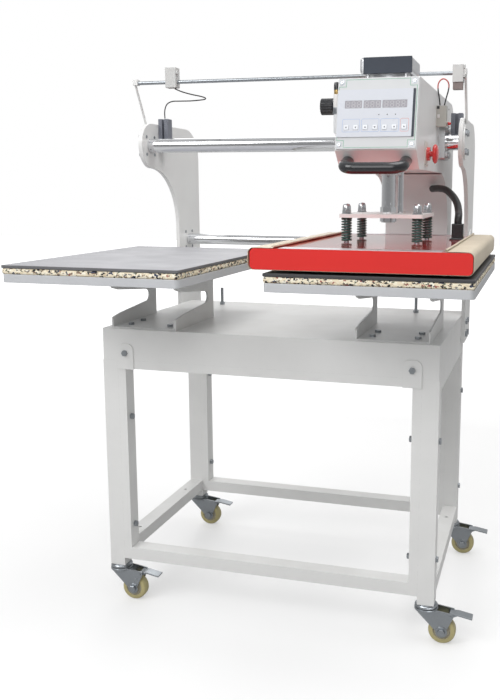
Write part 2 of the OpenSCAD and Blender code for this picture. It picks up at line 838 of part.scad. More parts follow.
// Outline of the carriage as (Y, Z), drawn g inside its outer face
module carriage_outline(g)
    difference() {
        union() {
            translate([carriage_front + g, carriage_low + g])
                square([carriage_rear - carriage_rear_r - carriage_front - g,
                    head_top - carriage_low - 2 * g]);
            translate([carriage_front + g, carriage_low + g])
                square([carriage_rear - carriage_front - 2 * g,
                    head_top - carriage_rear_r - carriage_low - g]);
            translate([carriage_rear - carriage_rear_r, head_top - carriage_rear_r])
                circle(r = carriage_rear_r - g, $fn = 96);
        }
        translate([carriage_throat_y, carriage_throat_z]) circle(r = carriage_throat_r + g, $fn = 128);
        translate([carriage_front - 1, carriage_low - 1])
            square([carriage_throat_y + carriage_throat_r - carriage_front + 1 + g,
                carriage_throat_z - carriage_low + 1]);
        translate([carriage_front - 1, carriage_low - 1])
            square([carriage_throat_y - carriage_front + 1, head_bottom - carriage_low + 1 + g]);
    }

// The gooseneck box that runs on both rails
module carriage()
    color("#dcdcda")
        difference() {
            at(head_x, 0, 0) along_x(head_w) carriage_outline(0);
            at(head_x, 0, 0) along_x(head_w - 2 * shell_t) carriage_outline(shell_t);
            at(head_x, rail_y, rail_z)
                rotate([0, 90, 0])
                    cylinder(r = housing_r + bolt_gap, h = head_w + 20, center = true);
            at(head_x, low_bar_y, low_bar_z)
                rotate([0, 90, 0])
                    cylinder(r = bush_r + bolt_gap, h = head_w + 20, center = true);
            for (sx = [-1, 1])
                at(head_x + sx * side_x, rail_y, rail_z)
                    rotate([0, 90, 0])
                        corners(flange_w / 2 - flange_edge, flange_w / 2 - flange_edge)
                            cylinder(r = bolt_r + bolt_gap, h = 8 * shell_t, center = true);
        }

// Flanged bearings on the main rail with their bolts, and the bush on the lower rail
module rail_bearings() {
    color("#b4b8bc")
        difference() {
            union() {
                at(head_x, rail_y, rail_z)
                    rotate([0, 90, 0])
                        cylinder(r = housing_r, h = head_w, center = true);
                for (sx = [-1, 1])
                    at(head_x + sx * (side_x + flange_t / 2), rail_y, rail_z)
                        rotate([0, 90, 0])
                            translate([0, 0, -flange_t / 2]) round_plate(flange_w, flange_w, flange_t, 6);
                at(head_x, low_bar_y, low_bar_z)
                    rotate([0, 90, 0])
                        cylinder(r = bush_r, h = head_w + 6, center = true);
            }
            at(head_x, rail_y, rail_z)
                rotate([0, 90, 0])
                    cylinder(r = rail_r + run_gap, h = 2 * head_w, center = true, $fn = 96);
            at(head_x, low_bar_y, low_bar_z)
                rotate([0, 90, 0])
                    cylinder(r = low_bar_r + run_gap, h = 2 * head_w, center = true, $fn = 96);
            for (sx = [-1, 1])
                at(head_x + sx * (side_x + flange_t / 2), rail_y, rail_z)
                    rotate([0, 90, 0])
                        corners(flange_w / 2 - flange_edge, flange_w / 2 - flange_edge)
                            cylinder(r = bolt_r + bolt_gap, h = 2 * flange_t, center = true);
        }
    color("#c9ccd0")
        for (sx = [-1, 1])
            at(head_x + sx * (side_x + flange_t + seat_gap), rail_y, rail_z)
                rotate([0, 90, 0])
                    mirror([0, 0, sx < 0 ? 1 : 0])
                        corners(flange_w / 2 - flange_edge, flange_w / 2 - flange_edge)
                            hex_bolt(bolt_r, flange_t + shell_t + 3);
}

// Outline of the head's case as (Y, Z), drawn g inside its outer face
module case_outline(g)
    polygon([[case_front_top + g, head_top - g], [case_rear - g, head_top - g],
        [case_rear - g, head_bottom + g], [case_chin_y + g, head_bottom + g],
        [case_front_low + g * 1.3, case_lip_z + g * 0.5]]);

module head_case()
    color("#dededc")
        difference() {
            at(head_x, 0, 0) along_x(head_w) case_outline(0);
            at(head_x, 0, 0) along_x(head_w - 2 * shell_t) case_outline(shell_t);
            at(head_x, -press_y, head_top - 10)
                translate([-cyl_w / 2 - bolt_gap, -cyl_w / 2 - bolt_gap, 0])
                    cube([cyl_w + 2 * bolt_gap, cyl_w + 2 * bolt_gap, 20]);
            at(head_x, -press_y, head_bottom)
                cylinder(r = nose_boss_r + bolt_gap, h = 20, center = true);
            at(head_x, -press_y, head_bottom)
                translate([guide_x, guide_y, 0])
                    cylinder(r = guide_r + move_gap, h = 20, center = true);
        }

// Square pneumatic cylinder: silver barrel, dark cap, tie rods and a round nose
module air_cylinder()
    difference() {
        at(head_x, -press_y, 0) {
            color("#c4c6c8")
                translate([0, 0, cyl_low]) round_plate(cyl_w, cyl_w, cyl_top - cap_h - cyl_low, 6);
            color("#2c2e30")
                translate([0, 0, cyl_top - cap_h]) round_plate(cap_w, cap_w, cap_h, 8);
            color("#c4c6c8")
                translate([0, 0, cyl_low - nose_boss_h]) cylinder(r = nose_boss_r, h = gland_h);
            color("silver")
                translate([0, 0, cyl_top - cap_h - 3])
                    corners(cap_w / 2 - tie_r, cap_w / 2 - tie_r)
                        cylinder(r = tie_r, h = 5, $fn = 24);
        }
        at(head_x, -press_y, cyl_low - gland_h)
            cylinder(r = rod_r + move_gap, h = cyl_top - cap_h - cyl_low + gland_h);
        at(head_x + guide_x, guide_y - press_y, cyl_low - gland_h)
            cylinder(r = guide_r + move_gap, h = cyl_top - cap_h - cyl_low + gland_h);
    }

// Moves from the case's face to the panel's own frame: X across, Y up the slope, Z outwards
module on_panel()
    at(head_x, (case_front_top + case_front_low) / 2, (head_top + case_lip_z) / 2)
        rotate([90 - panel_tilt, 0, 0])
            children();

// Places of the seven keys on the panel, as (X, Y)
function key_place(n) = [(n - 4) * key_pitch - key_shift, -key_row];

// The control panel: an outer plate, a raised inner plate, and four screws
module front_panel()
    on_panel()
        difference() {
            union() {
                color("#e8e8e8") round_plate(panel_w, panel_h, panel_t, 4);
                color("#f2f2f0")
                    translate([-panel_pad_shift, 0, 0])
                        round_plate(panel_pad_w, panel_pad_h, panel_t + panel_pad_t, 2);
                color("#58585a")
                    translate([0, 0, panel_t])
                        corners(panel_w / 2 - screw_edge, panel_h / 2 - screw_edge)
                            cylinder(r = screw_r, h = 1.6, $fn = 24);
            }
            for (n = [1:7])
                translate([key_place(n)[0], key_place(n)[1], panel_t + panel_pad_t - key_seat])
                    round_plate(key_w + 2 * key_gap, key_h + 2 * key_gap, key_seat + 1, 1.8);
            for (d = display_places)
                translate([d[0], display_y, panel_t + panel_pad_t - display_sink])
                    round_plate(d[1], display_h, 2 * display_sink, 1);
        }

// One key, a pad that stands just proud of the panel
module panel_key(n)
    color("#c8d4e8")
        on_panel()
            translate([key_place(n)[0], key_place(n)[1], key_bottom])
                round_plate(key_w, key_h, panel_t + panel_pad_t + key_lift - key_bottom, 1.5);

// The carry handle: a bar in front of the chin and two arms into the case
module carry_handle()
    color("#2a2a2c")
        difference() {
            at(head_x, handle_y, handle_z)
                rotate([handle_lean, 0, 0])
                    union() {
                        rotate([0, 90, 0])
                            cylinder(r = handle_r, h = handle_w - 2 * handle_bend, center = true);
                        for (m = [0, 1])
                            mirror([m, 0, 0]) {
                                translate([handle_w / 2 - handle_bend, handle_bend, 0])
                                    rotate([0, 0, -90])
                                        rotate_extrude(angle = 90)
                                            translate([handle_bend, 0]) circle(r = handle_r);
                                translate([handle_w / 2, handle_bend, 0])
                                    rotate([-90, 0, 0])
                                        cylinder(r = handle_r, h = 60);
                            }
                    }
            at(head_x, 0, 0) along_x(head_w + 2) case_outline(-0.1);
        }

module stop_button_base()
    color("#d8c860")
        at(head_x + side_x, stop_y_head, stop_z)
            rotate([0, 90, 0])
                difference() {
                    union() {
                        round_plate(34, 44, 1.5, 3);
                        cylinder(r = 14, h = 9);
                    }
                    translate([0, 0, 1]) cylinder(r = 6 + bolt_gap, h = 12);
                }

// Red mushroom button, pressed along -X
module stop_button()
    color("#c01818")
        at(head_x + side_x, stop_y_head, stop_z)
            rotate([0, 90, 0]) {
                translate([0, 0, 7]) cylinder(r = 6, h = 10);
                translate([0, 0, 15])
                    rotate_extrude($fn = 64)
                        polygon([[0, 0], [17, 0], [20, 3], [20, 6], [17, 9], [9, 11], [0, 11.5]]);
            }

// Grey limit switch on the carriage's side
module limit_switch()
    color("#9a988c")
        at(head_x + side_x, switch_y, switch_z)
            difference() {
                union() {
                    translate([0, -switch_d / 2, -switch_h / 2]) cube([switch_w, switch_d, switch_h]);
                    translate([switch_w - 1, 0, plunger_z - switch_z])
                        rotate([0, 90, 0])
                            cylinder(r = 6.5, h = 4);
                }
                translate([switch_w - 9, 0, plunger_z - switch_z])
                    rotate([0, 90, 0])
                        cylinder(r = 3.5 + bolt_gap, h = 20);
                for (x = [7, 15], y = [-6, 6])
                    translate([x, y, switch_h / 2 - 3])
                        cylinder(r = lead_r + 0.2, h = 5, $fn = 16);
            }

module switch_plunger()
    color("#b02020")
        at(head_x + side_x + switch_w - 5, switch_y, plunger_z)
            rotate([0, 90, 0]) {
                cylinder(r = 3.5, h = 12);
                translate([0, 0, 12]) sphere(r = 3.4);
            }

// Regulator block on the head's left side, with a bracket and a vertical fitting
module air_regulator()
    color("#5a5c60")
        at(head_x - side_x, regulator_y, regulator_z)
            difference() {
                union() {
                    translate([-3, -30, -44]) cube([3, 60, 66]);
                    translate([-3 - regulator_w, -regulator_w / 2, -regulator_w / 2])
                        cube([regulator_w, regulator_w, regulator_w]);
                    translate([-3 - regulator_w - 10, 0, 0])
                        rotate([0, 90, 0])
                            cylinder(r = 11, h = 11);
                    translate([-3 - regulator_w + 8, 0, 10]) cylinder(r = 7, h = 34);
                    translate([-3 - regulator_w + 8, 0, 40])
                        rotate([0, 90, 0])
                            cylinder(r = 6, h = 20);
                }
                translate([-3 - regulator_w - 11, 0, 0])
                    rotate([0, 90, 0])
                        cylinder(r = 5 + bolt_gap, h = 20);
            }

// Ribbed knob of the regulator, turned about X
module regulator_knob()
    color("#1c1c1e")
        at(head_x - side_x - 3 - regulator_w - 10 - move_gap, regulator_y, regulator_z)
            rotate([0, -90, 0]) {
                difference() {
                    cylinder(r = knob_r, h = knob_len, $fn = 72);
                    for (k = [0:17])
                        rotate([0, 0, 20 * k])
                            translate([knob_r + 0.8, 0, -1])
                                cylinder(r = 2, h = knob_len + 2, $fn = 16);
                }
                translate([0, 0, -8]) cylinder(r = 5, h = 9);
            }

module switch_leads()
    color("#202020")
        translate([0, stand_y, 0])
            swept(lead_route, lead_r, 8);

// ---- Heated platen ----

// Places a shape at the four spring bolts, from the press axis
module at_springs(z)
    at(head_x, -press_y, z)
        corners(spring_pitch / 2, spring_pitch / 2)
            children();

module heater_plate()
    color("#a8a8a4")
        difference() {
            at(head_x, cover_mid_y, heater_low)
                round_plate(cover_w - 2 * cover_r, cover_d - 2 * cover_wall - 1, heater_t, 3);
            at_springs(heater_low + heater_t - stud_grip)
                cylinder(r = stud_r + bolt_gap, h = 2 * stud_grip);
        }

// Cross-section of the red cover as (X, Z), with round lower and upper edges
module cover_section(w, h, r)
    union() {
        translate([-w / 2 + r, 0]) square([w - 2 * r, h]);
        translate([-w / 2, r]) square([w, h - 2 * r]);
        for (sx = [-1, 1], z = [r, h - r])
            translate([sx * (w / 2 - r), z]) circle(r = r);
    }

module platen_cover()
    color("#c01c1c")
        difference() {
            at(head_x, cover_mid_y + cover_d / 2, cover_low)
                rotate([90, 0, 0])
                    linear_extrude(height = cover_d)
                        cover_section(cover_w, cover_h, cover_r);
            at(head_x, cover_mid_y, cover_low - 1)
                translate([-cover_w / 2 + cover_wall, -cover_d / 2 + cover_wall, 0])
                    cube([cover_w - 2 * cover_wall, cover_d - 2 * cover_wall, cover_h + 1 - cover_wall]);
            at_springs(cover_top - 10) cylinder(r = stud_r + bolt_gap, h = 20);
        }

// Non-stick fabric under the platen, round its long sides and onto its top
module platen_fabric()
    color("#c9b79c")
        difference() {
            at(head_x, cover_mid_y + fabric_d / 2, cover_low - fabric_t)
                rotate([90, 0, 0])
                    linear_extrude(height = fabric_d)
                        difference() {
                            cover_section(cover_w + 2 * fabric_t, cover_h + 2 * fabric_t,
                                cover_r + fabric_t);
                            translate([0, fabric_t]) cover_section(cover_w, cover_h, cover_r);
                            translate([-cover_w / 2 + flap_w, cover_h]) square([cover_w - 2 * flap_w, 10]);
                        }
        }

// Studs of the heater, with a collar under each spring and a domed nut over the cross plate
module spring_bolts()
    color("#d0d2d4")
        at_springs(0) {
            translate([0, 0, heater_low + heater_t - stud_grip])
                cylinder(r = stud_r, h = cross_top + nut_h - heater_low - heater_t + stud_grip);
            translate([0, 0, cover_top]) cylinder(r = spring_r, h = seat_h);
            translate([0, 0, cross_top]) cylinder(r = hex_r, h = nut_h, $fn = 6);
            translate([0, 0, cross_top + nut_h - 1]) cylinder(r = stud_r + 1.5, h = 10);
        }

// Coil springs, drawn as sleeves
module press_springs()
    color("#20302c")
        at_springs(spring_low)
            difference() {
                cylinder(r = spring_r, h = spring_len);
                translate([0, 0, -1]) cylinder(r = stud_r + 1.5, h = spring_len + 2);
            }

module cross_plate()
    color("#c8cacc")
        difference() {
            at(head_x, -press_y, cross_low) round_plate(cross_w, cross_d, cross_t, 4);
            at_springs(cross_low - 1) cylinder(r = stud_r + move_gap, h = cross_t + 2);
            at(head_x, -press_y, cross_low - 1) cylinder(r = rod_r + bolt_gap, h = cross_t + 2);
            at(head_x + guide_x, guide_y - press_y, cross_low - 1)
                cylinder(r = guide_r + bolt_gap, h = cross_t + 2);
        }

// Piston rod with a nut over and a flange under the cross plate, and its guide rod
module piston_rod()
    color("#d0d4d8") {
        at(head_x, -press_y, cross_low - 12) cylinder(r = rod_r, h = rod_top - cross_low + 12, $fn = 64);
        at(head_x, -press_y, cross_top) cylinder(r = rod_nut_r, h = rod_nut_h, $fn = 6);
        at(head_x, -press_y, cross_low - 10) cylinder(r = rod_r + 3, h = 10);
        at(head_x + guide_x, guide_y - press_y, cross_low)
            cylinder(r = guide_r, h = rod_top - cross_low - 40, $fn = 32);
    }

module heater_hose()
    color("#202224")
        translate([0, stand_y, 0])
            swept(hose_route, hose_r, 12);

// Square socket on the platen's top where the hose ends
module hose_socket()
    color("#202224")
        at(socket_x, socket_y, cover_top) {
            round_plate(socket_w + 8, socket_w + 8, 3, 3);
            translate([0, 0, 2]) round_plate(socket_w, socket_w, socket_h - 2, 3);
        }

side_frames();
front_frame();
rear_frame();
frame_bolts();
base_box();
side_plates();
guide_rails();
rail_hubs();
plate_bolts();
table_brackets();
table_trays();
foam_boards();
table_pads();
stop_studs();
sensor_bar();
limit_blocks();
end_channels();
limit_wire();
caster_stems();
caster_fork(1);  // caster_fork_1
caster_fork(2);  // caster_fork_2
caster_fork(3);  // caster_fork_3
caster_fork(4);  // caster_fork_4
caster_wheel(1);  // caster_wheel_1
caster_wheel(2);  // caster_wheel_2
caster_wheel(3);  // caster_wheel_3
caster_wheel(4);  // caster_wheel_4
brake_pedal(1);  // brake_pedal_1
brake_pedal(2);  // brake_pedal_2
brake_pedal(3);  // brake_pedal_3
brake_pedal(4);  // brake_pedal_4
carriage();
head_case();
front_panel();
carry_handle();
rail_bearings();
air_cylinder();
stop_button_base();
limit_switch();
air_regulator();
switch_leads();
panel_key(1);  // panel_key_1
panel_key(2);  // panel_key_2
panel_key(3);  // panel_key_3
panel_key(4);  // panel_key_4
panel_key(5);  // panel_key_5
panel_key(6);  // panel_key_6
panel_key(7);  // panel_key_7
stop_button();
switch_plunger();
regulator_knob();
heater_plate();
platen_cover();
platen_fabric();
spring_bolts();
press_springs();
piston_rod();
cross_plate();
heater_hose();
hose_socket();
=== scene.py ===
"""Two-station pneumatic heat press: the looks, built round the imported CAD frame."""

import json
import logging
import math
from collections.abc import Callable, Sequence
from dataclasses import dataclass
from enum import Enum

import bpy
from mathutils import Matrix, Vector, noise


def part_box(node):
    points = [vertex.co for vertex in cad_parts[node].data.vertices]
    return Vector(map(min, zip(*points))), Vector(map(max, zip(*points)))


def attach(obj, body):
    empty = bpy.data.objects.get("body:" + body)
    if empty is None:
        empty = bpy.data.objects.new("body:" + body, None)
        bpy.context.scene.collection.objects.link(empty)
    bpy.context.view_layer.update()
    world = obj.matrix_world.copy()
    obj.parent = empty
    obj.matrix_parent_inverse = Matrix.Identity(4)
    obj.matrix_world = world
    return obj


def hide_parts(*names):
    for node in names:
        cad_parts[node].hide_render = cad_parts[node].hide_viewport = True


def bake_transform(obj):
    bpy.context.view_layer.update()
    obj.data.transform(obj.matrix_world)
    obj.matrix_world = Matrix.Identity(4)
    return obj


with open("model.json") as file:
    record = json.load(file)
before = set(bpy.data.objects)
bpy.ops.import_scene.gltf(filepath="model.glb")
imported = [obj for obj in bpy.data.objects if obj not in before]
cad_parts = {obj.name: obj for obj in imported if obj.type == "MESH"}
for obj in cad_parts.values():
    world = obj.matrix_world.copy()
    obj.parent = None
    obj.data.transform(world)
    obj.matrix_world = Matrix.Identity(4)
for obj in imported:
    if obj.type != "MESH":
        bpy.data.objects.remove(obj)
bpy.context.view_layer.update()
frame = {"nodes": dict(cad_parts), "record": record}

Colour = tuple[float, float, float]
Point = tuple[float, float, float]
Profile = Sequence[tuple[float, float]]

log = logging.getLogger("heat_press")


class Axis(Enum):
    """Direction that a turned or drilled piece points in."""

    X = Vector((1, 0, 0))
    MINUS_X = Vector((-1, 0, 0))
    Y = Vector((0, 1, 0))
    Z = Vector((0, 0, 1))
    DOWN = Vector((0, 0, -1))


# ---- Bench work: small wrappers round the modelling operators ----


def activate(obj: bpy.types.Object) -> None:
    """Leaves one object selected and active.

    Args:
        obj: The object that the next operator works on.
    """
    bpy.ops.object.select_all(action="DESELECT")
    obj.select_set(True)
    bpy.context.view_layer.objects.active = obj


def settle(obj: bpy.types.Object) -> bpy.types.Object:
    """Moves an object's place into its mesh.

    Args:
        obj: The object to settle.

    Returns:
        The same object, at the origin, unturned and unscaled.
    """
    activate(obj)
    bpy.ops.object.transform_apply(location=True, rotation=True, scale=True)
    return obj


def turned_to(axis: Vector) -> Matrix:
    """Gives the turn that takes Z to an axis.

    Args:
        axis: Where Z should point.

    Returns:
        A rotation matrix.
    """
    return Vector((0, 0, 1)).rotation_difference(axis).to_matrix().to_4x4()


def smooth(obj: bpy.types.Object, angle: float = 35) -> bpy.types.Object:
    """Shades an object smooth except over sharp edges.

    Args:
        obj: The object to shade.
        angle: Edges sharper than this many degrees stay sharp.

    Returns:
        The same object.
    """
    activate(obj)
    bpy.ops.object.shade_smooth_by_angle(angle=math.radians(angle))
    return obj


def modified(obj: bpy.types.Object, kind: str, **settings: object) -> bpy.types.Object:
    """Adds a modifier and applies it.

    Args:
        obj: The object to change.
        kind: The modifier's type.
        **settings: The modifier's own settings.

    Returns:
        The same object.
    """
    modifier = obj.modifiers.new(kind.lower(), kind)
    for key, value in settings.items():
        setattr(modifier, key, value)
    activate(obj)
    bpy.ops.object.modifier_apply(modifier=modifier.name)
    return obj


def bevelled(obj: bpy.types.Object, width: float, segments: int = 2, angle: float = 32) -> bpy.types.Object:
    """Rounds an object's sharp edges and weights its normals.

    Args:
        obj: The object to round.
        width: Width of the rounding.
        segments: Steps in the rounding.
        angle: Only edges sharper than this many degrees are rounded.

    Returns:
        The same object.
    """
    modified(obj, "BEVEL", width=width, segments=segments, limit_method="ANGLE",
             angle_limit=math.radians(angle), use_clamp_overlap=True)
    smooth(obj, 46)
    return modified(obj, "WEIGHTED_NORMAL", keep_sharp=True)


def block(name: str, low: Point, high: Point, bevel: float = 0.0, segments: int = 2) -> bpy.types.Object:
    """Makes a block between two corners, with rounded edges.

    Args:
        name: The piece's name.
        low: Lowest corner.
        high: Highest corner.
        bevel: Width of the rounded edges.
        segments: Steps in the rounding.

    Returns:
        The block.
    """
    low_corner, high_corner = Vector(low), Vector(high)
    bpy.ops.object.select_all(action="DESELECT")
    bpy.ops.mesh.primitive_cube_add(size=1, location=(low_corner + high_corner) / 2)
    obj = bpy.context.object
    obj.name = obj.data.name = name
    obj.scale = high_corner - low_corner
    settle(obj)
    return bevelled(obj, bevel, segments) if bevel else obj


def rod(name: str, radius: float, start: Vector, end: Vector, sides: int = 32,
        bevel: float = 0.0) -> bpy.types.Object:
    """Makes a round or many-sided rod between two points.

    Args:
        name: The piece's name.
        radius: The rod's radius.
        start: Middle of one end.
        end: Middle of the other end.
        sides: Number of sides; 6 makes a hexagon.
        bevel: Width of the rounded rims.

    Returns:
        The rod.
    """
    along = end - start
    bpy.ops.object.select_all(action="DESELECT")
    bpy.ops.mesh.primitive_cylinder_add(vertices=sides, radius=radius, depth=along.length)
    obj = bpy.context.object
    obj.name = obj.data.name = name
    obj.data.transform(Matrix.Translation((start + end) / 2) @ turned_to(along.normalized()))
    return bevelled(obj, bevel) if bevel else smooth(obj)


def turned(name: str, profile: Profile, centre: Vector, axis: Vector, steps: int = 48,
           angle: float = 35) -> bpy.types.Object:
    """Spins an outline of (radius, height) points round an axis.

    Args:
        name: The piece's name.
        profile: The outline, from the lowest point to the highest.
        centre: Where height zero lies.
        axis: The axis that the outline is spun round.
        steps: Steps in a full turn.
        angle: Edges sharper than this many degrees stay sharp.

    Returns:
        The turned piece.
    """
    mesh = bpy.data.meshes.new(name)
    mesh.from_pydata([(r, 0.0, h) for r, h in profile], [(i, i + 1) for i in range(len(profile) - 1)], [])
    obj = bpy.data.objects.new(name, mesh)
    bpy.context.scene.collection.objects.link(obj)
    activate(obj)
    bpy.ops.object.mode_set(mode="EDIT")
    bpy.ops.mesh.select_all(action="SELECT")
    bpy.ops.mesh.spin(steps=steps, angle=2 * math.pi, center=(0, 0, 0), axis=(0, 0, 1))
    bpy.ops.mesh.select_all(action="SELECT")
    bpy.ops.mesh.remove_doubles(threshold=1e-6)
    bpy.ops.mesh.normals_make_consistent(inside=False)
    bpy.ops.object.mode_set(mode="OBJECT")
    mesh.transform(Matrix.Translation(centre) @ turned_to(axis))
    return smooth(obj, angle)


def tube(name: str, points: Sequence[Vector], radius: float, sides: int = 12) -> bpy.types.Object:
    """Sweeps a round section along points and closes its ends.

    Args:
        name: The piece's name.
        points: The line that the tube follows.
        radius: The tube's radius.
        sides: Sides of the section, an even number.

    Returns:
        The tube as a mesh.
    """
    curve = bpy.data.curves.new(name, "CURVE")
    curve.dimensions = "3D"
    curve.bevel_depth = radius
    curve.bevel_resolution = (sides - 4) // 2
    curve.use_fill_caps = True
    spline = curve.splines.new("POLY")
    spline.points.add(len(points) - 1)
    for knot, point in zip(spline.points, points):
        knot.co = (*point, 1)
    obj = bpy.data.objects.new(name, curve)
    bpy.context.scene.collection.objects.link(obj)
    activate(obj)
    bpy.ops.object.convert(target="MESH")
    obj = bpy.context.object
    obj.name = obj.data.name = name
    return smooth(obj, 60)


def joined(name: str, parts: Sequence[bpy.types.Object]) -> bpy.types.Object:
    """Joins objects into one piece and keeps their materials.

    Args:
        name: The piece's name.
        parts: The objects to join.

    Returns:
        The joined piece.
    """
    activate(parts[0])
    for part in parts[1:]:
        part.select_set(True)
    if len(parts) > 1:
        bpy.ops.object.join()
    obj = bpy.context.object
    obj.name = obj.data.name = name
    return obj


def cad_copy(node: str, name: str, bevel: float = 0.0, segments: int = 2) -> bpy.types.Object:
    """Copies a CAD node's mesh, merges it and rounds its edges.

    Args:
        node: The CAD node.
        name: The new piece's name.
        bevel: Width of the rounded edges.
        segments: Steps in the rounding.

    Returns:
        The copy, which stands for the node.
    """
    obj = bpy.data.objects.new(name, frame["nodes"][node].data.copy())
    obj.data.materials.clear()
    bpy.context.scene.collection.objects.link(obj)
    activate(obj)
    bpy.ops.mesh.customdata_custom_splitnormals_clear()
    bpy.ops.object.mode_set(mode="EDIT")
    bpy.ops.mesh.select_all(action="SELECT")
    bpy.ops.mesh.remove_doubles(threshold=1e-5)
    bpy.ops.mesh.dissolve_limited(angle_limit=math.radians(0.5))
    bpy.ops.object.mode_set(mode="OBJECT")
    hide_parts(node)
    return bevelled(obj, bevel, segments) if bevel else smooth(obj)


def curved(points: Sequence[Point], steps: int = 6) -> list[Vector]:
    """Draws a smooth line through given points.

    Args:
        points: The route's points.
        steps: Steps between two points.

    Returns:
        Points along the line.
    """
    knots = [Vector(p) for p in points]
    line: list[Vector] = []
    for i in range(len(knots) - 1):
        before, start, end = knots[max(i - 1, 0)], knots[i], knots[i + 1]
        after = knots[min(i + 2, len(knots) - 1)]
        for k in range(steps):
            t = k / steps
            line.append(0.5 * (2 * start + (end - before) * t + (2 * before - 5 * start + 4 * end - after) * t ** 2
                               + (3 * start - before - 3 * end + after) * t ** 3))
    return line + [knots[-1]]


# ---- Finishes ----


class Graph:
    """Adds shader nodes to one tree and joins their sockets."""

    def __init__(self, tree: bpy.types.NodeTree) -> None:
        """Keeps the tree that nodes are added to."""
        self.tree = tree

    def add(self, kind: str, inputs: dict[str | int, object] | None = None,
            **settings: object) -> bpy.types.Node:
        """Adds a node.

        Args:
            kind: The node's type.
            inputs: Values or sockets for its inputs, by name or number.
            **settings: The node's own settings.

        Returns:
            The node.
        """
        node = self.tree.nodes.new(kind)
        for key, value in settings.items():
            setattr(node, key, value)
        for key, value in (inputs or {}).items():
            if isinstance(value, bpy.types.NodeSocket):
                self.tree.links.new(value, node.inputs[key])
            else:
                node.inputs[key].default_value = value
        return node

    def maths(self, operation: str, a: object, b: object = 0.0, clamp: bool = False) -> bpy.types.NodeSocket:
        """Adds a Math node.

        Args:
            operation: The sum to do.
            a: First value or socket.
            b: Second value or socket.
            clamp: Keeps the result from 0 to 1.

        Returns:
            The result's socket.
        """
        return self.add("ShaderNodeMath", {0: a, 1: b}, operation=operation, use_clamp=clamp).outputs[0]

    def mix(self, factor: object, a: object, b: object) -> bpy.types.NodeSocket:
        """Mixes two colours.

        Args:
            factor: How much of the second colour shows.
            a: First colour.
            b: Second colour.

        Returns:
            The mixed colour's socket.
        """
        return self.add("ShaderNodeMix", {0: factor, 6: a, 7: b}, data_type="RGBA").outputs[2]

    def noise(self, vector: object, scale: object, detail: float = 3.0) -> bpy.types.NodeSocket:
        """Adds a noise pattern.

        Args:
            vector: The pattern's coordinates.
            scale: How fine the pattern is.
            detail: How many finer patterns lie on it.

        Returns:
            The pattern's value socket.
        """
        return self.add("ShaderNodeTexNoise", {"Vector": vector, "Scale": scale, "Detail": detail}).outputs[0]

    def ramp(self, factor: object, low: float, high: float) -> bpy.types.NodeSocket:
        """Stretches a value so that low becomes 0 and high becomes 1."""
        return self.add("ShaderNodeMapRange", {0: factor, 1: low, 2: high}).outputs[0]


def group(name: str, inputs: dict[str, float], outputs: Sequence[str],
          fill: Callable[[Graph, bpy.types.Node], dict[str, bpy.types.NodeSocket]]) -> bpy.types.NodeTree:
    """Builds a shader node group with named sockets.

    Args:
        name: The group's name.
        inputs: Its inputs and their usual values.
        outputs: Its outputs.
        fill: Adds the nodes and gives each output's socket.

    Returns:
        The group.
    """
    tree = bpy.data.node_groups.new(name, "ShaderNodeTree")
    for key, value in inputs.items():
        kind = "NodeSocketVector" if key == "Vector" else "NodeSocketFloat"
        socket = tree.interface.new_socket(name=key, in_out="INPUT", socket_type=kind)
        if key != "Vector":
            socket.default_value = value
    for key in outputs:
        tree.interface.new_socket(name=key, in_out="OUTPUT", socket_type="NodeSocketFloat")
    graph = Graph(tree)
    made = fill(graph, graph.add("NodeGroupInput"))
    graph.add("NodeGroupOutput", dict(made))
    return tree


def fill_grain(graph: Graph, given: bpy.types.Node) -> dict[str, bpy.types.NodeSocket]:
    """Fine grain for bump and roughness, and broad patches for colour."""
    place = graph.add("ShaderNodeTexCoord").outputs["Object"]
    fine = graph.noise(place, given.outputs["Scale"])
    broad = graph.noise(place, graph.maths("MULTIPLY", given.outputs["Scale"], 0.012), 4.0)
    return {"Height": fine, "Patch": graph.ramp(broad, 0.3, 0.7)}


def fill_wear(graph: Graph, given: bpy.types.Node) -> dict[str, bpy.types.NodeSocket]:
    """Broken wear along the edges that a hand or a tool rubs."""
    place = graph.add("ShaderNodeTexCoord").outputs["Object"]
    rounded = graph.add("ShaderNodeBevel", {"Radius": given.outputs["Radius"]}, samples=4)
    flat = graph.add("ShaderNodeNewGeometry").outputs["Normal"]
    product = graph.add("ShaderNodeVectorMath", {0: rounded.outputs[0], 1: flat}, operation="DOT_PRODUCT")
    turn = product.outputs["Value"]
    edge = graph.ramp(graph.maths("SUBTRACT", 1.0, turn), 0.02, 0.22)
    broken = graph.ramp(graph.noise(place, 140.0, 5.0), 0.42, 0.62)
    amount = graph.maths("MULTIPLY", broken, given.outputs["Amount"])
    return {"Mask": graph.maths("MULTIPLY", edge, amount, True)}


def fill_dust(graph: Graph, given: bpy.types.Node) -> dict[str, bpy.types.NodeSocket]:
    """A thin film of dust on faces that look up."""
    place = graph.add("ShaderNodeTexCoord").outputs["Object"]
    normal = graph.add("ShaderNodeNewGeometry").outputs["Normal"]
    up = graph.ramp(graph.add("ShaderNodeSeparateXYZ", {0: normal}).outputs[2], 0.5, 0.95)
    cloud = graph.ramp(graph.noise(place, 9.0, 6.0), 0.35, 0.7)
    return {"Mask": graph.maths("MULTIPLY", graph.maths("MULTIPLY", up, cloud), given.outputs["Amount"])}


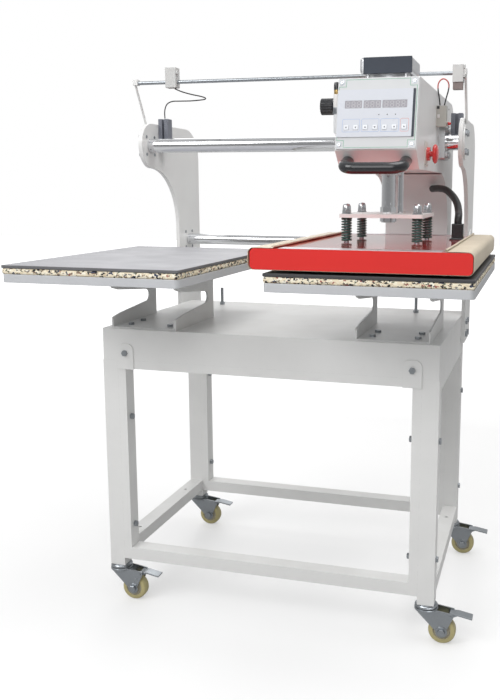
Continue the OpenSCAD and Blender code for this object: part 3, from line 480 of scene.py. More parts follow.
def fill_weave(graph: Graph, given: bpy.types.Node) -> dict[str, bpy.types.NodeSocket]:
    """A plain weave of over and under threads along both ways of a cloth; its Over mask places the painted shade
    where threads pass under.
    """
    scaled = graph.add("ShaderNodeVectorMath", {0: given.outputs["Vector"], 3: given.outputs["Threads"]},
                       operation="SCALE").outputs[0]
    parts = graph.add("ShaderNodeSeparateXYZ", {0: scaled})
    warp = graph.maths("SINE", graph.maths("MULTIPLY", parts.outputs[0], math.pi))
    weft = graph.maths("SINE", graph.maths("MULTIPLY", parts.outputs[1], math.pi))
    over = graph.maths("MULTIPLY", warp, weft)
    return {"Height": graph.maths("ABSOLUTE", over), "Over": graph.ramp(over, -0.2, 0.2)}


class Groups:
    """The node groups that more than one finish uses, each built once."""

    grain = group("surface_grain", {"Scale": 900.0}, ["Height", "Patch"], fill_grain)
    wear = group("edge_wear", {"Radius": 0.002, "Amount": 0.5}, ["Mask"], fill_wear)
    dust = group("dust_film", {"Amount": 0.2}, ["Mask"], fill_dust)
    weave = group("cloth_weave", {"Vector": 0.0, "Threads": 900.0}, ["Height", "Over"], fill_weave)


def shade(colour: Colour, factor: float = 1.0) -> tuple[float, float, float, float]:
    """Gives a colour with alpha, made lighter or darker by a factor."""
    return (*(min(c * factor, 1.0) for c in colour), 1.0)


@dataclass(frozen=True)
class Finish:
    """A surface finish.

    Attributes:
        name: The material's name.
        colour: Its base colour.
        roughness: Its usual roughness.
        metallic: 1 for bare metal.
        coat: Weight of a clear coat.
        grain: How fine its grain is.
        depth: Height of its grain in metres.
        mottle: How much darker its patches are.
        spread: How much its roughness changes.
        specular: Its specular level.
    """

    name: str
    colour: Colour
    roughness: float
    metallic: float = 0.0
    coat: float = 0.0
    grain: float = 900.0
    depth: float = 0.00002
    mottle: float = 0.05
    spread: float = 0.06
    specular: float = 0.5

    def material(self) -> bpy.types.Material:
        """Gives this finish's material, built at its first use."""
        made = bpy.data.materials.get(f"{self.name}_finish")
        return made if made else self.build()

    def build(self) -> bpy.types.Material:
        """Builds the material.

        Returns:
            The new material.
        """
        made = bpy.data.materials.new(f"{self.name}_finish")
        made.use_nodes = True
        made.diffuse_color = shade(self.colour)
        graph = Graph(made.node_tree)
        shader = made.node_tree.nodes["Principled BSDF"]
        shader.inputs["Metallic"].default_value = self.metallic
        shader.inputs["Coat Weight"].default_value = self.coat
        shader.inputs["Coat Roughness"].default_value = 0.08
        shader.inputs["Specular IOR Level"].default_value = self.specular
        grain = graph.add("ShaderNodeGroup", node_tree=Groups.grain)
        grain.inputs["Scale"].default_value = self.grain
        colour = self.pattern(graph, grain.outputs["Patch"])
        rough = self.roughening(graph, grain)
        made.node_tree.links.new(colour, shader.inputs["Base Color"])
        made.node_tree.links.new(rough, shader.inputs["Roughness"])
        bump = graph.add("ShaderNodeBump", {"Height": self.relief(graph, grain), "Distance": self.depth,
                                            "Strength": 1.0})
        made.node_tree.links.new(bump.outputs[0], shader.inputs["Normal"])
        return made

    def pattern(self, graph: Graph, patch: bpy.types.NodeSocket) -> bpy.types.NodeSocket:
        """Gives the colour, a little darker in patches."""
        return graph.mix(patch, shade(self.colour), shade(self.colour, 1 - self.mottle))

    def roughening(self, graph: Graph, grain: bpy.types.Node) -> bpy.types.NodeSocket:
        """Gives the roughness, which changes with the patches."""
        change = graph.maths("MULTIPLY", graph.maths("SUBTRACT", grain.outputs["Patch"], 0.5), self.spread)
        return graph.maths("ADD", change, self.roughness, True)

    def relief(self, graph: Graph, grain: bpy.types.Node) -> bpy.types.NodeSocket:
        """Gives the height that the bump follows."""
        return grain.outputs["Height"]


@dataclass(frozen=True)
class Paint(Finish):
    """A painted or powder-coated finish with worn edges and a film of dust.

    Attributes:
        wear: How much of each edge is worn.
        worn: The colour under the paint at an edge.
        dust: How dusty its top faces are.
    """

    wear: float = 0.35
    worn: Colour = (0.52, 0.52, 0.51)
    dust: float = 0.25

    def pattern(self, graph: Graph, patch: bpy.types.NodeSocket) -> bpy.types.NodeSocket:
        """Gives the paint's colour under its dust and between its worn edges."""
        paint = Finish.pattern(self, graph, patch)
        wear = graph.add("ShaderNodeGroup", node_tree=Groups.wear)
        wear.inputs["Amount"].default_value = self.wear
        dust = graph.add("ShaderNodeGroup", node_tree=Groups.dust)
        dust.inputs["Amount"].default_value = self.dust
        dusty = graph.mix(dust.outputs[0], paint, shade((0.62, 0.61, 0.58)))
        return graph.mix(wear.outputs[0], dusty, shade(self.worn))


@dataclass(frozen=True)
class Brushed(Finish):
    """Bare metal with fine marks along one way.

    Attributes:
        stretch: How much shorter the marks are along X, Y and Z.
    """

    stretch: Point = (1.0, 30.0, 30.0)

    def streaks(self, graph: Graph) -> bpy.types.NodeSocket:
        """Gives the marks' height."""
        place = graph.add("ShaderNodeTexCoord").outputs["Object"]
        along = graph.add("ShaderNodeMapping", {"Vector": place, "Scale": self.stretch}).outputs[0]
        return graph.noise(along, 60.0, 4.0)

    def roughening(self, graph: Graph, grain: bpy.types.Node) -> bpy.types.NodeSocket:
        """Gives the roughness, which changes from mark to mark."""
        change = graph.maths("MULTIPLY", graph.maths("SUBTRACT", self.streaks(graph), 0.5), 2 * self.spread)
        return graph.maths("ADD", change, self.roughness, True)

    def relief(self, graph: Graph, grain: bpy.types.Node) -> bpy.types.NodeSocket:
        """Gives the marks as relief."""
        return self.streaks(graph)


@dataclass(frozen=True)
class Plated(Finish):
    """Zinc plate, with faint crystals and darker stains."""

    def pattern(self, graph: Graph, patch: bpy.types.NodeSocket) -> bpy.types.NodeSocket:
        """Gives the plate's colour, crystal by crystal."""
        place = graph.add("ShaderNodeTexCoord").outputs["Object"]
        cells = graph.add("ShaderNodeTexVoronoi", {"Vector": place, "Scale": 420.0})
        value = graph.add("ShaderNodeSeparateColor", {0: cells.outputs["Color"]}).outputs[0]
        plate = graph.mix(graph.maths("MULTIPLY", value, 0.5), shade(self.colour), shade(self.colour, 0.86))
        return graph.mix(graph.maths("MULTIPLY", patch, 0.35), plate, shade(self.colour, 0.7))


@dataclass(frozen=True)
class FoamCrumb(Finish):
    """Rebonded foam: pressed crumbs of many colours.

    Attributes:
        crumbs: Crumb colours and the share of crumbs up to which each shows.
    """

    crumbs: tuple[tuple[float, Colour], ...] = (
        (0.0, (0.80, 0.70, 0.52)), (0.28, (0.86, 0.79, 0.63)), (0.48, (0.68, 0.58, 0.42)),
        (0.60, (0.88, 0.84, 0.72)), (0.72, (0.030, 0.030, 0.035)), (0.85, (0.05, 0.06, 0.10)),
        (0.91, (0.24, 0.17, 0.12)), (0.95, (0.34, 0.11, 0.09)), (0.975, (0.13, 0.15, 0.10)))

    def pattern(self, graph: Graph, patch: bpy.types.NodeSocket) -> bpy.types.NodeSocket:
        """Gives each crumb its own colour."""
        place = graph.add("ShaderNodeTexCoord").outputs["Object"]
        wobble = graph.add("ShaderNodeTexNoise", {"Vector": place, "Scale": 240.0}).outputs["Color"]
        bent = graph.add("ShaderNodeMix", {0: 0.008, 4: place, 5: wobble}, data_type="VECTOR").outputs[1]
        squeezed = graph.add("ShaderNodeMapping", {"Vector": bent, "Scale": (1.0, 1.0, 1.7)}).outputs[0]
        cells = graph.add("ShaderNodeTexVoronoi", {"Vector": squeezed, "Scale": 200.0, "Randomness": 1.0})
        pick = graph.add("ShaderNodeSeparateColor", {0: cells.outputs["Color"]}).outputs[0]
        ramp = graph.add("ShaderNodeValToRGB", {0: pick})
        ramp.color_ramp.interpolation = "CONSTANT"
        stops = ramp.color_ramp.elements
        stops[0].color = shade(self.crumbs[0][1])
        stops[1].position, stops[1].color = self.crumbs[1][0], shade(self.crumbs[1][1])
        for share, colour in self.crumbs[2:]:
            stops.new(share).color = shade(colour)
        return ramp.outputs[0]


@dataclass(frozen=True)
class CoatedCloth(Finish):
    """Woven glass cloth with a non-stick coat, patterned along its own UV map.

    Attributes:
        threads: Threads in a metre.
    """

    threads: float = 900.0

    def woven(self, graph: Graph, output: str) -> bpy.types.NodeSocket:
        """Gives one output of the weave along the cloth's UV map."""
        weave = graph.add("ShaderNodeGroup", node_tree=Groups.weave)
        weave.inputs["Threads"].default_value = self.threads
        graph.tree.links.new(graph.add("ShaderNodeUVMap").outputs[0], weave.inputs["Vector"])
        return weave.outputs[output]

    def pattern(self, graph: Graph, patch: bpy.types.NodeSocket) -> bpy.types.NodeSocket:
        """Gives the cloth's colour, with painted shade where a thread passes under."""
        cloth = Finish.pattern(self, graph, patch)
        # Painted shade: the weave mask darkens the cloth where threads pass under.
        under = graph.maths("MULTIPLY", self.woven(graph, "Over"), 0.25)
        return graph.mix(under, cloth, shade(self.colour, 0.82))

    def relief(self, graph: Graph, grain: bpy.types.Node) -> bpy.types.NodeSocket:
        """Gives the weave as relief."""
        return self.woven(graph, "Height")


WHITE_COAT = Paint("powder_coat", (0.78, 0.78, 0.77), 0.34, grain=1500.0, depth=0.00003, mottle=0.03)
HEAD_COAT = Paint("head_coat", (0.76, 0.76, 0.76), 0.34, grain=1500.0, depth=0.00003, mottle=0.03)
TRAY_COAT = Paint("tray_paint", (0.54, 0.55, 0.57), 0.38, grain=1300.0, depth=0.00003)
RED_ENAMEL = Paint("red_enamel", (0.74, 0.026, 0.022), 0.10, coat=1.0, grain=700.0, depth=0.000004,
                   wear=0.12, worn=(0.42, 0.03, 0.02), dust=0.04)
CHROME = Brushed("hard_chrome", (0.78, 0.79, 0.81), 0.09, 1.0, depth=0.0000004, spread=0.04,
                 stretch=(30.0, 1.0, 1.0))
STEEL = Brushed("bright_steel", (0.66, 0.67, 0.69), 0.24, 1.0, depth=0.000004, stretch=(30.0, 30.0, 1.0))
BEARING = Brushed("bearing_steel", (0.56, 0.57, 0.58), 0.30, 1.0, depth=0.000004, stretch=(30.0, 1.0, 1.0))
ALUMINIUM = Brushed("anodised_aluminium", (0.62, 0.63, 0.65), 0.34, 0.9, depth=0.0000006,
                    stretch=(1.0, 1.0, 30.0))
CAST = Finish("cast_aluminium", (0.60, 0.60, 0.58), 0.48, 0.8, grain=500.0, depth=0.0001, mottle=0.12)
ZINC = Plated("zinc_plate", (0.38, 0.405, 0.43), 0.30, 0.95, grain=800.0, depth=0.00001, mottle=0.1)
DARK_STEEL = Paint("dark_steel", (0.055, 0.06, 0.075), 0.38, metallic=0.3, wear=0.6, worn=(0.3, 0.3, 0.31),
                   dust=0.1)
SLATE = Finish("slate_film", (0.052, 0.060, 0.076), 0.42, specular=0.15, grain=1400.0, depth=0.00002)
BLACK = Finish("black_plastic", (0.018, 0.019, 0.022), 0.24, coat=0.25, grain=1200.0, depth=0.00002,
               mottle=0.2)
RUBBER = Finish("hose_rubber", (0.016, 0.016, 0.018), 0.46, grain=1600.0, depth=0.00004, mottle=0.25)
SLEEVE = Finish("wire_sleeve", (0.018, 0.018, 0.020), 0.50, grain=2500.0, depth=0.00001)
WIRE_RED = Finish("red_wire", (0.50, 0.10, 0.09), 0.45, grain=2500.0, depth=0.00001)
SPRING_PAINT = Paint("spring_paint", (0.010, 0.075, 0.060), 0.30, coat=0.3, wear=0.3, worn=(0.2, 0.25, 0.24),
                     dust=0.0)
RED_PLASTIC = Finish("red_plastic", (0.60, 0.020, 0.018), 0.22, coat=0.5, grain=900.0, depth=0.00001)
LABEL_PLATE = Finish("label_plate", (0.72, 0.71, 0.66), 0.40, grain=1200.0)
BOWL = Finish("bowl_plastic", (0.70, 0.73, 0.75), 0.12, coat=0.4, grain=900.0, depth=0.00001)
SENSOR_PALE = Finish("sensor_bracket", (0.58, 0.58, 0.57), 0.45, grain=1300.0, depth=0.000005)
SENSOR_DARK = Finish("sensor_case", (0.22, 0.17, 0.16), 0.40, grain=1300.0, depth=0.000005)
CHANNEL_GREY = Finish("channel_grey", (0.18, 0.19, 0.225), 0.42, grain=1300.0, depth=0.00002)
SWITCH_GREY = Finish("switch_grey", (0.47, 0.46, 0.42), 0.46, grain=1400.0, depth=0.00003)
PANEL_FILM = Finish("panel_film", (0.56, 0.57, 0.58), 0.34, grain=2600.0, depth=0.00002, mottle=0.02)
INNER_FILM = Finish("inner_film", (0.56, 0.58, 0.63), 0.30, grain=2600.0, depth=0.00002, mottle=0.02)
PRINT_GREEN = Finish("green_print", (0.10, 0.36, 0.22), 0.40, grain=2600.0)
PRINT_BLUE = Finish("blue_print", (0.30, 0.40, 0.62), 0.40, grain=2600.0)
PRINT_RED = Finish("red_print", (0.62, 0.22, 0.20), 0.40, grain=2600.0)
PRINT_DARK = Finish("dark_print", (0.05, 0.05, 0.06), 0.40, grain=2600.0)
DISPLAY = Finish("display_glass", (0.26, 0.25, 0.28), 0.12, coat=0.6, grain=900.0, depth=0.000005,
                 mottle=0.15)
DIGIT = Finish("unlit_digit", (0.38, 0.37, 0.40), 0.28, grain=1500.0)
# Painted sheen: a lighter colour on the left pad's up-facing faces stands in for grazing reflection on the dark
# silicone.
PAD_TOP_SHEEN = Finish("silicone_painted_sheen", (0.38, 0.38, 0.40), 0.50, grain=1100.0, depth=0.00005, mottle=0.10,
                 spread=0.14)
PAD_EDGE = Finish("silicone_edge", (0.150, 0.150, 0.158), 0.55, grain=900.0, depth=0.00008, mottle=0.2)
PAD_DARK = Finish("charcoal_silicone", (0.060, 0.060, 0.065), 0.46, grain=1100.0, depth=0.00005, mottle=0.2)
FOAM = FoamCrumb("rebond_foam", (0.80, 0.69, 0.48), 0.88, grain=420.0, depth=0.0006, specular=0.2)
CLOTH = CoatedCloth("nonstick_cloth", (0.66, 0.57, 0.43), 0.42, depth=0.00012, mottle=0.10)
TYRE = Finish("wheel_polyurethane", (0.50, 0.44, 0.22), 0.40, grain=700.0, depth=0.00004, mottle=0.12)
HUB = Finish("wheel_core", (0.50, 0.46, 0.35), 0.45, grain=900.0, mottle=0.15)
BRASS = Brushed("brass", (0.72, 0.50, 0.20), 0.26, 1.0, depth=0.000004)
WHITE_PLASTIC = Finish("white_plastic", (0.74, 0.74, 0.73), 0.32, grain=1200.0)
KEY_FILM = Finish("key_film", (0.76, 0.78, 0.82), 0.34, grain=2600.0, depth=0.00002)

SLOT_FINISH: dict[str, Finish] = {
    "powder_coat": WHITE_COAT, "zinc": ZINC, "hard_chrome": CHROME, "tray_paint": TRAY_COAT,
    "rebond_foam": FOAM, "silicone_pad": PAD_EDGE, "grey_plastic": SWITCH_GREY, "dark_steel": DARK_STEEL,
    "wire_sleeve": SLEEVE, "panel_plastic": PANEL_FILM, "black_plastic": BLACK, "bearing_steel": BEARING,
    "aluminium_body": ALUMINIUM, "label_plate": LABEL_PLATE, "red_plastic": RED_PLASTIC,
    "heater_aluminium": CAST, "red_enamel": RED_ENAMEL, "nonstick_fabric": CLOTH, "bright_steel": STEEL,
    "spring_steel": SPRING_PAINT, "hose_rubber": RUBBER, "wheel_polyurethane": TYRE, "key_film": KEY_FILM}
SLOT_OF: dict[str, str] = {s["node"]: s["material_slot"] for s in frame["record"]["subparts"]}
BODY_OF: dict[str, str] = {
    node: body for body, nodes in frame["record"]["behaviour"]["bodies"].items() for node in nodes}


def dress(obj: bpy.types.Object, finish: Finish,
          where: Callable[[bpy.types.MeshPolygon], bool] | None = None) -> bpy.types.Object:
    """Gives an object a finish, all over or on the faces that pass a test.

    Args:
        obj: The object to dress.
        finish: The finish.
        where: Chooses the faces; without it every face is dressed.

    Returns:
        The same object.
    """
    obj.data.materials.append(finish.material())
    index = len(obj.data.materials) - 1
    for face in obj.data.polygons:
        if where is None or where(face):
            face.material_index = index
    return obj


def present(obj: bpy.types.Object, node: str, stands_for: bool = False) -> bpy.types.Object:
    """Puts a finished piece on the body of a CAD node.

    Args:
        obj: The piece.
        node: The CAD node that it belongs with.
        stands_for: Whether the piece is shown in place of the node.

    Returns:
        The same piece.
    """
    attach(obj, BODY_OF[node])
    if stands_for:
        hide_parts(node)
    log.info("%s: %d faces, on %s", obj.name, len(obj.data.polygons), BODY_OF[node])
    return obj


def softened(node: str, bevel: float, finish: Finish | None = None, segments: int = 2) -> bpy.types.Object:
    """Shows a CAD node through a copy with rounded edges.

    Args:
        node: The CAD node.
        bevel: Width of the rounded edges.
        finish: Its finish; without it, its record slot's own.
        segments: Steps in the rounding.

    Returns:
        The piece.
    """
    obj = cad_copy(node, f"{node}_piece", bevel, segments)
    return present(dress(obj, finish or SLOT_FINISH[SLOT_OF[node]]), node)


def lies_up(face: bpy.types.MeshPolygon) -> bool:
    """Tells whether a face looks up."""
    return face.normal.z > 0.8


# ---- Studio ----


@dataclass
class Studio:
    """Floor, soft lights and camera.

    Attributes:
        floor_side: Side of the square floor.
        floor_glow: How far the floor near the object is lifted towards white.
        lens: Focal length of the camera in millimetres.
        camera_at: Where the camera stands.
        camera_turn: How the camera is turned, in radians.
        shift: The lens's sideways and upward shift.
    """

    floor_side: float = 26.0
    floor_glow: float = 0.44
    lens: float = 42.13
    camera_at: Point = (0.6005, -1.8811, 1.0115)
    camera_turn: Point = (math.pi / 2 - 0.1589, -0.0034, 0.2647)
    shift: tuple[float, float] = (-0.1017, -0.043)

    def place_camera(self) -> None:
        """Stands the camera where an operator would look from."""
        data = bpy.data.cameras.new("camera")
        data.lens = self.lens
        data.shift_x, data.shift_y = self.shift
        camera = bpy.data.objects.new("camera", data)
        camera.location = self.camera_at
        camera.rotation_euler = self.camera_turn
        bpy.context.scene.collection.objects.link(camera)
        bpy.context.scene.camera = camera

    def lay_floor(self) -> None:
        """Lays a plain pale floor."""
        bpy.ops.object.select_all(action="DESELECT")
        bpy.ops.mesh.primitive_plane_add(size=self.floor_side, location=(0, 0, 0))
        floor = bpy.context.object
        floor.name = "floor"
        pale = Finish("pale_floor", (0.50, 0.50, 0.50), 0.6, grain=60.0, depth=0.00002, mottle=0.01)
        dress(settle(floor), pale)
        graph = Graph(floor.data.materials[0].node_tree)
        shader = graph.tree.nodes["Principled BSDF"]
        place = graph.add("ShaderNodeNewGeometry").outputs["Position"]
        away = graph.add("ShaderNodeVectorMath", {0: place}, operation="LENGTH").outputs["Value"]
        far = graph.ramp(away, 1.6, 4.5)
        glow = graph.mix(far, shade((self.floor_glow,) * 3), shade((1.0, 1.0, 1.0)))
        seen = graph.add("ShaderNodeLightPath").outputs["Is Camera Ray"]
        graph.tree.links.new(graph.mix(seen, shade((0.0, 0.0, 0.0)), glow), shader.inputs["Emission Color"])
        shader.inputs["Emission Strength"].default_value = 1.0

    def light(self, name: str, at: Point, towards: Point, size: float, watts: float) -> None:
        """Hangs one square soft light.

        Args:
            name: The light's name.
            at: Where it hangs.
            towards: What it points at.
            size: Its side.
            watts: Its power.
        """
        data = bpy.data.lights.new(name, "AREA")
        data.size, data.energy = size, watts
        lamp = bpy.data.objects.new(name, data)
        lamp.location = at
        lamp.rotation_euler = (Vector(at) - Vector(towards)).to_track_quat("Z", "Y").to_euler()
        bpy.context.scene.collection.objects.link(lamp)

    def build(self) -> None:
        """Sets the whole studio."""
        scene = bpy.context.scene
        scene.view_settings.view_transform = "Standard"
        self.paint_sky(scene)
        self.lay_floor()
        middle = (0.0, 0.0, 0.8)
        self.light("key", (-2.2, -2.6, 3.2), middle, 2.2, 76.0)
        self.light("fill", (0.25, -2.1, 2.0), (0.1, 0.0, 1.1), 1.4, 17.0)
        self.light("top", (1.0, -0.2, 4.0), middle, 2.4, 66.0)
        self.light("back", (-1.0, 3.0, 2.8), middle, 2.4, 24.0)

    def paint_sky(self, scene: bpy.types.Scene) -> None:
        """Surrounds the object with white that lights it more from the back and from above.

        Args:
            scene: The scene to light.
        """
        scene.world = bpy.data.worlds.new("studio")
        scene.world.use_nodes = True
        graph = Graph(scene.world.node_tree)
        lamp = scene.world.node_tree.nodes["Background"]
        lamp.inputs["Color"].default_value = (1.0, 1.0, 1.0, 1.0)
        ways = graph.add("ShaderNodeSeparateXYZ", {0: graph.add("ShaderNodeTexCoord").outputs["Generated"]})
        across = graph.maths("MULTIPLY", ways.outputs[0], -0.02)
        along = graph.maths("MULTIPLY", ways.outputs[1], 0.14)
        upward = graph.maths("MULTIPLY", ways.outputs[2], 0.16)
        slopes = graph.maths("ADD", graph.maths("ADD", across, along), upward)
        strength = graph.maths("ADD", slopes, 0.42)
        graph.tree.links.new(strength, lamp.inputs["Strength"])
        white = graph.add("ShaderNodeBackground", {"Color": (1.0, 1.0, 1.0, 1.0), "Strength": 1.0})
        seen = graph.add("ShaderNodeLightPath").outputs["Is Camera Ray"]
        mixed = graph.add("ShaderNodeMixShader", {0: seen, 1: lamp.outputs[0], 2: white.outputs[0]})
        graph.tree.links.new(mixed.outputs[0], scene.world.node_tree.nodes["World Output"].inputs["Surface"])


# ---- Cords ----


@dataclass
class Cords:
    """The heater's hose, the limit sensor's wire and the switch's leads.

    Attributes:
        hose_radius: Radius of the hose.
        wire_radius: Radius of a wire.
        hose_route: Points of the hose, from the carriage to its socket.
        limit_route: Points of the limit sensor's wire.
        leads_route: Points of the loop of switch leads.
    """

    hose_radius: float = 0.0085
    wire_radius: float = 0.0015
    hose_route: tuple[Point, ...] = (
        (0.322, 0.225, 1.012), (0.344, 0.185, 1.013), (0.366, 0.147, 1.009), (0.388, 0.103, 0.994),
        (0.403, 0.057, 0.977), (0.411, 0.015, 0.958), (0.414, -0.017, 0.950), (0.414, -0.023, 0.942),
        (0.414, -0.023, 0.935))
    limit_route: tuple[Point, ...] = (
        (-0.304, 0.058, 1.256), (-0.284, 0.059, 1.248), (-0.262, 0.067, 1.242), (-0.246, 0.083, 1.239),
        (-0.242, 0.103, 1.237), (-0.252, 0.123, 1.236), (-0.274, 0.139, 1.236), (-0.304, 0.151, 1.236),
        (-0.336, 0.159, 1.237), (-0.362, 0.163, 1.237), (-0.379, 0.167, 1.230), (-0.386, 0.168, 1.214),
        (-0.386, 0.168, 1.194))
    leads_route: tuple[Point, ...] = (
        (0.361, 0.026, 1.198), (0.359, 0.025, 1.214), (0.356, 0.024, 1.232), (0.356, 0.024, 1.244),
        (0.360, 0.025, 1.252), (0.367, 0.027, 1.256), (0.375, 0.029, 1.252), (0.379, 0.031, 1.244),
        (0.378, 0.034, 1.232), (0.373, 0.037, 1.214), (0.369, 0.038, 1.198))

    def lay(self, name: str, node: str, route: Sequence[Point],
            radius: float) -> tuple[bpy.types.Object, list[Vector], float]:
        """Lays one cord along its route.

        Args:
            name: The piece's name.
            node: The CAD node that it stands for.
            route: The route's points.
            radius: The cord's radius.

        Returns:
            The cord, its centreline and its length.
        """
        line = curved(route, 5)
        obj = dress(tube(name, line, radius, 16), SLOT_FINISH[SLOT_OF[node]])
        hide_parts(node)
        length = sum((b - a).length for a, b in zip(line, line[1:]))
        return obj, line, length

    def build(self) -> None:
        """Lays the three cords."""
        hose, line, length = self.lay("hose", "heater_hose", self.hose_route, self.hose_radius)
        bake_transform(hose)
        wire, line, length = self.lay("sensor_wire", "limit_wire", self.limit_route, self.wire_radius)
        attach(wire, BODY_OF["limit_wire"])
        leads, line, length = self.lay("switch_lead_loop", "switch_leads", self.leads_route, self.wire_radius)
        dress(leads, WIRE_RED, lambda face: face.center.z > 1.236)
        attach(leads, BODY_OF["switch_leads"])


# ---- Stand ----


@dataclass
class Stand:
    """Welded frames, base box, brackets, side plates, rails and sensor bar.

    Attributes:
        tube_round: Rounding of the square tubes' edges.
        sheet_round: Rounding of the folded sheet's edges.
        plate_round: Rounding of the thick plates' edges.
        bolt_round: Rounding of bolt heads.
        arm_width: Width of the painted arms at the sensor bar's ends.
        bar_radius: Radius of the sensor bar.
    """

    tube_round: float = 0.0036
    sheet_round: float = 0.0012
    plate_round: float = 0.0008
    bolt_round: float = 0.0005
    arm_width: float = 0.0125
    bar_radius: float = 0.0045

    def build(self) -> None:
        """Shows every fixed node of the stand."""
        for node in ("side_frames", "front_frame", "rear_frame"):
            softened(node, self.tube_round, segments=3)
        for node in ("base_box", "table_brackets", "table_trays"):
            softened(node, self.sheet_round)
        softened("side_plates", self.plate_round)
        softened("end_channels", self.plate_round, CHANNEL_GREY)
        blocks = softened("limit_blocks", self.plate_round, SENSOR_PALE)
        low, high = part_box("limit_blocks")
        dress(blocks, SENSOR_DARK, lambda face: face.center.z < low.z + 0.35 * (high.z - low.z))
        for node in ("frame_bolts", "plate_bolts", "rail_hubs", "stop_studs", "guide_rails"):
            softened(node, self.bolt_round)
        bar = softened("sensor_bar", self.bolt_round)
        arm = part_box("sensor_bar")[1].x - self.arm_width
        dress(bar, WHITE_COAT, lambda face: abs(face.center.x) > arm)
        self.clamps()


    def clamps(self) -> None:
        """Puts a small painted clamp on each end of the sensor bar."""
        low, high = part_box("sensor_bar")
        centre = Vector((0, low.y + self.bar_radius, high.z - self.bar_radius))
        parts = []
        for side in (-1, 1):
            ends = sorted((side * high.x, side * (high.x - self.arm_width)))
            parts.append(block("clamp", (ends[0], centre.y - 0.0075, centre.z - 0.0055),
                               (ends[1], centre.y + 0.0085, centre.z + 0.0095), 0.0010))
        present(dress(joined("bar_clamps", parts), WHITE_COAT), "sensor_bar")


@dataclass
class Casters:
    """Four swivel casters with their wheels, forks and brake pedals.

    Attributes:
        count: How many casters there are.
        tyre: Outline of a wheel's half width as (radius, height) shares of its radius and half width.
        cup: Radius of the swivel's cup.
        cheek: From a wheel's side to the outer face of a fork's cheek.
        race: Outline of the ring above a fork, from the fork's top.
        lip: Outline of the ring round a fork's top.
        washer: Outline of an axle's washer, from the cheek.
        head: Outline of an axle's head, from the cheek.
    """

    count: int = 4
    tyre: tuple[tuple[float, float], ...] = (
        (0.14, -0.86), (0.30, -0.86), (0.34, -0.70), (0.58, -0.70), (0.64, -0.96), (0.84, -1.0),
        (0.93, -0.92), (0.985, -0.68), (1.0, -0.35), (1.0, 0.35), (0.985, 0.68), (0.93, 0.92),
        (0.84, 1.0), (0.64, 0.96), (0.58, 0.70), (0.34, 0.70), (0.30, 0.86), (0.14, 0.86), (0.14, -0.86))
    cup: float = 0.025
    cheek: float = 0.0039
    race: Profile = ((0.0210, 0.0012), (0.0250, 0.0012), (0.0262, 0.0022), (0.0262, 0.0048),
                     (0.0245, 0.0058), (0.0232, 0.0080), (0.0210, 0.0080))
    lip: Profile = ((0.0235, -0.0066), (0.0258, -0.0066), (0.0268, -0.0056), (0.0268, -0.0016),
                    (0.0256, -0.0006), (0.0235, -0.0006))
    washer: Profile = ((0.0030, 0.0), (0.0128, 0.0), (0.0132, 0.0004), (0.0132, 0.0012), (0.0128, 0.0016),
                       (0.0030, 0.0016))
    head: Profile = ((0.0, 0.0014), (0.0086, 0.0014), (0.0090, 0.0020), (0.0090, 0.0058), (0.0080, 0.0068),
                     (0.0, 0.0070))

    def wheel(self, number: int) -> None:
        """Turns one wheel, with a moulded tread on a core.

        Args:
            number: The caster's number.
        """
        node = f"caster_wheel_{number}"
        low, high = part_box(node)
        middle, radius, half = (low + high) / 2, (high.z - low.z) / 2, (high.y - low.y) / 2
        outline = [(r * radius, h * half) for r, h in self.tyre]
        obj = dress(turned(f"wheel_{number}", outline, middle, Axis.Y.value, 56), HUB)
        dress(obj, TYRE, lambda face: self.from_axle(face, middle) > 0.62 * radius)
        present(obj, node, True)

    def from_axle(self, face: bpy.types.MeshPolygon, middle: Vector) -> float:
        """Gives a face's distance from the axle's line."""
        return math.hypot(face.center.x - middle.x, face.center.z - middle.z)

    def races(self, number: int) -> None:
        """Rings one swivel with a race on the stem and a lip on the fork.

        Args:
            number: The caster's number.
        """
        node = f"caster_fork_{number}"
        low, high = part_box(node)
        place = Vector((low.x + self.cup, (low.y + high.y) / 2, high.z))
        stem = turned(f"swivel_race_{number}", self.race, place, Axis.Z.value, 48)
        present(dress(stem, ZINC), "caster_stems")
        present(dress(turned(f"fork_lip_{number}", self.lip, place, Axis.Z.value, 48), ZINC), node)

    def axle_ends(self, number: int) -> None:
        """Caps both ends of one axle with a washer and a large hexagon head.

        Args:
            number: The caster's number.
        """
        low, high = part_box(f"caster_wheel_{number}")
        middle, cheek = (low + high) / 2, (high.y - low.y) / 2 + self.cheek
        ends = []
        for name, side in (("near", -1.0), ("far", 1.0)):
            away = Vector((0, side, 0))
            place = middle + away * cheek
            ends.append(turned(f"axle_washer_{name}", self.washer, place, away, 40))
            ends.append(turned(f"axle_head_{name}", self.head, place, away, 6, 20))
        present(dress(joined(f"axle_ends_{number}", ends), ZINC), f"caster_fork_{number}")

    def build(self) -> None:
        """Builds the four casters."""
        softened("caster_stems", 0.0008)
        for number in range(1, self.count + 1):
            softened(f"caster_fork_{number}", 0.0007)
            self.races(number)
            self.axle_ends(number)
            softened(f"brake_pedal_{number}", 0.0006)
            self.wheel(number)


# ---- Tables ----


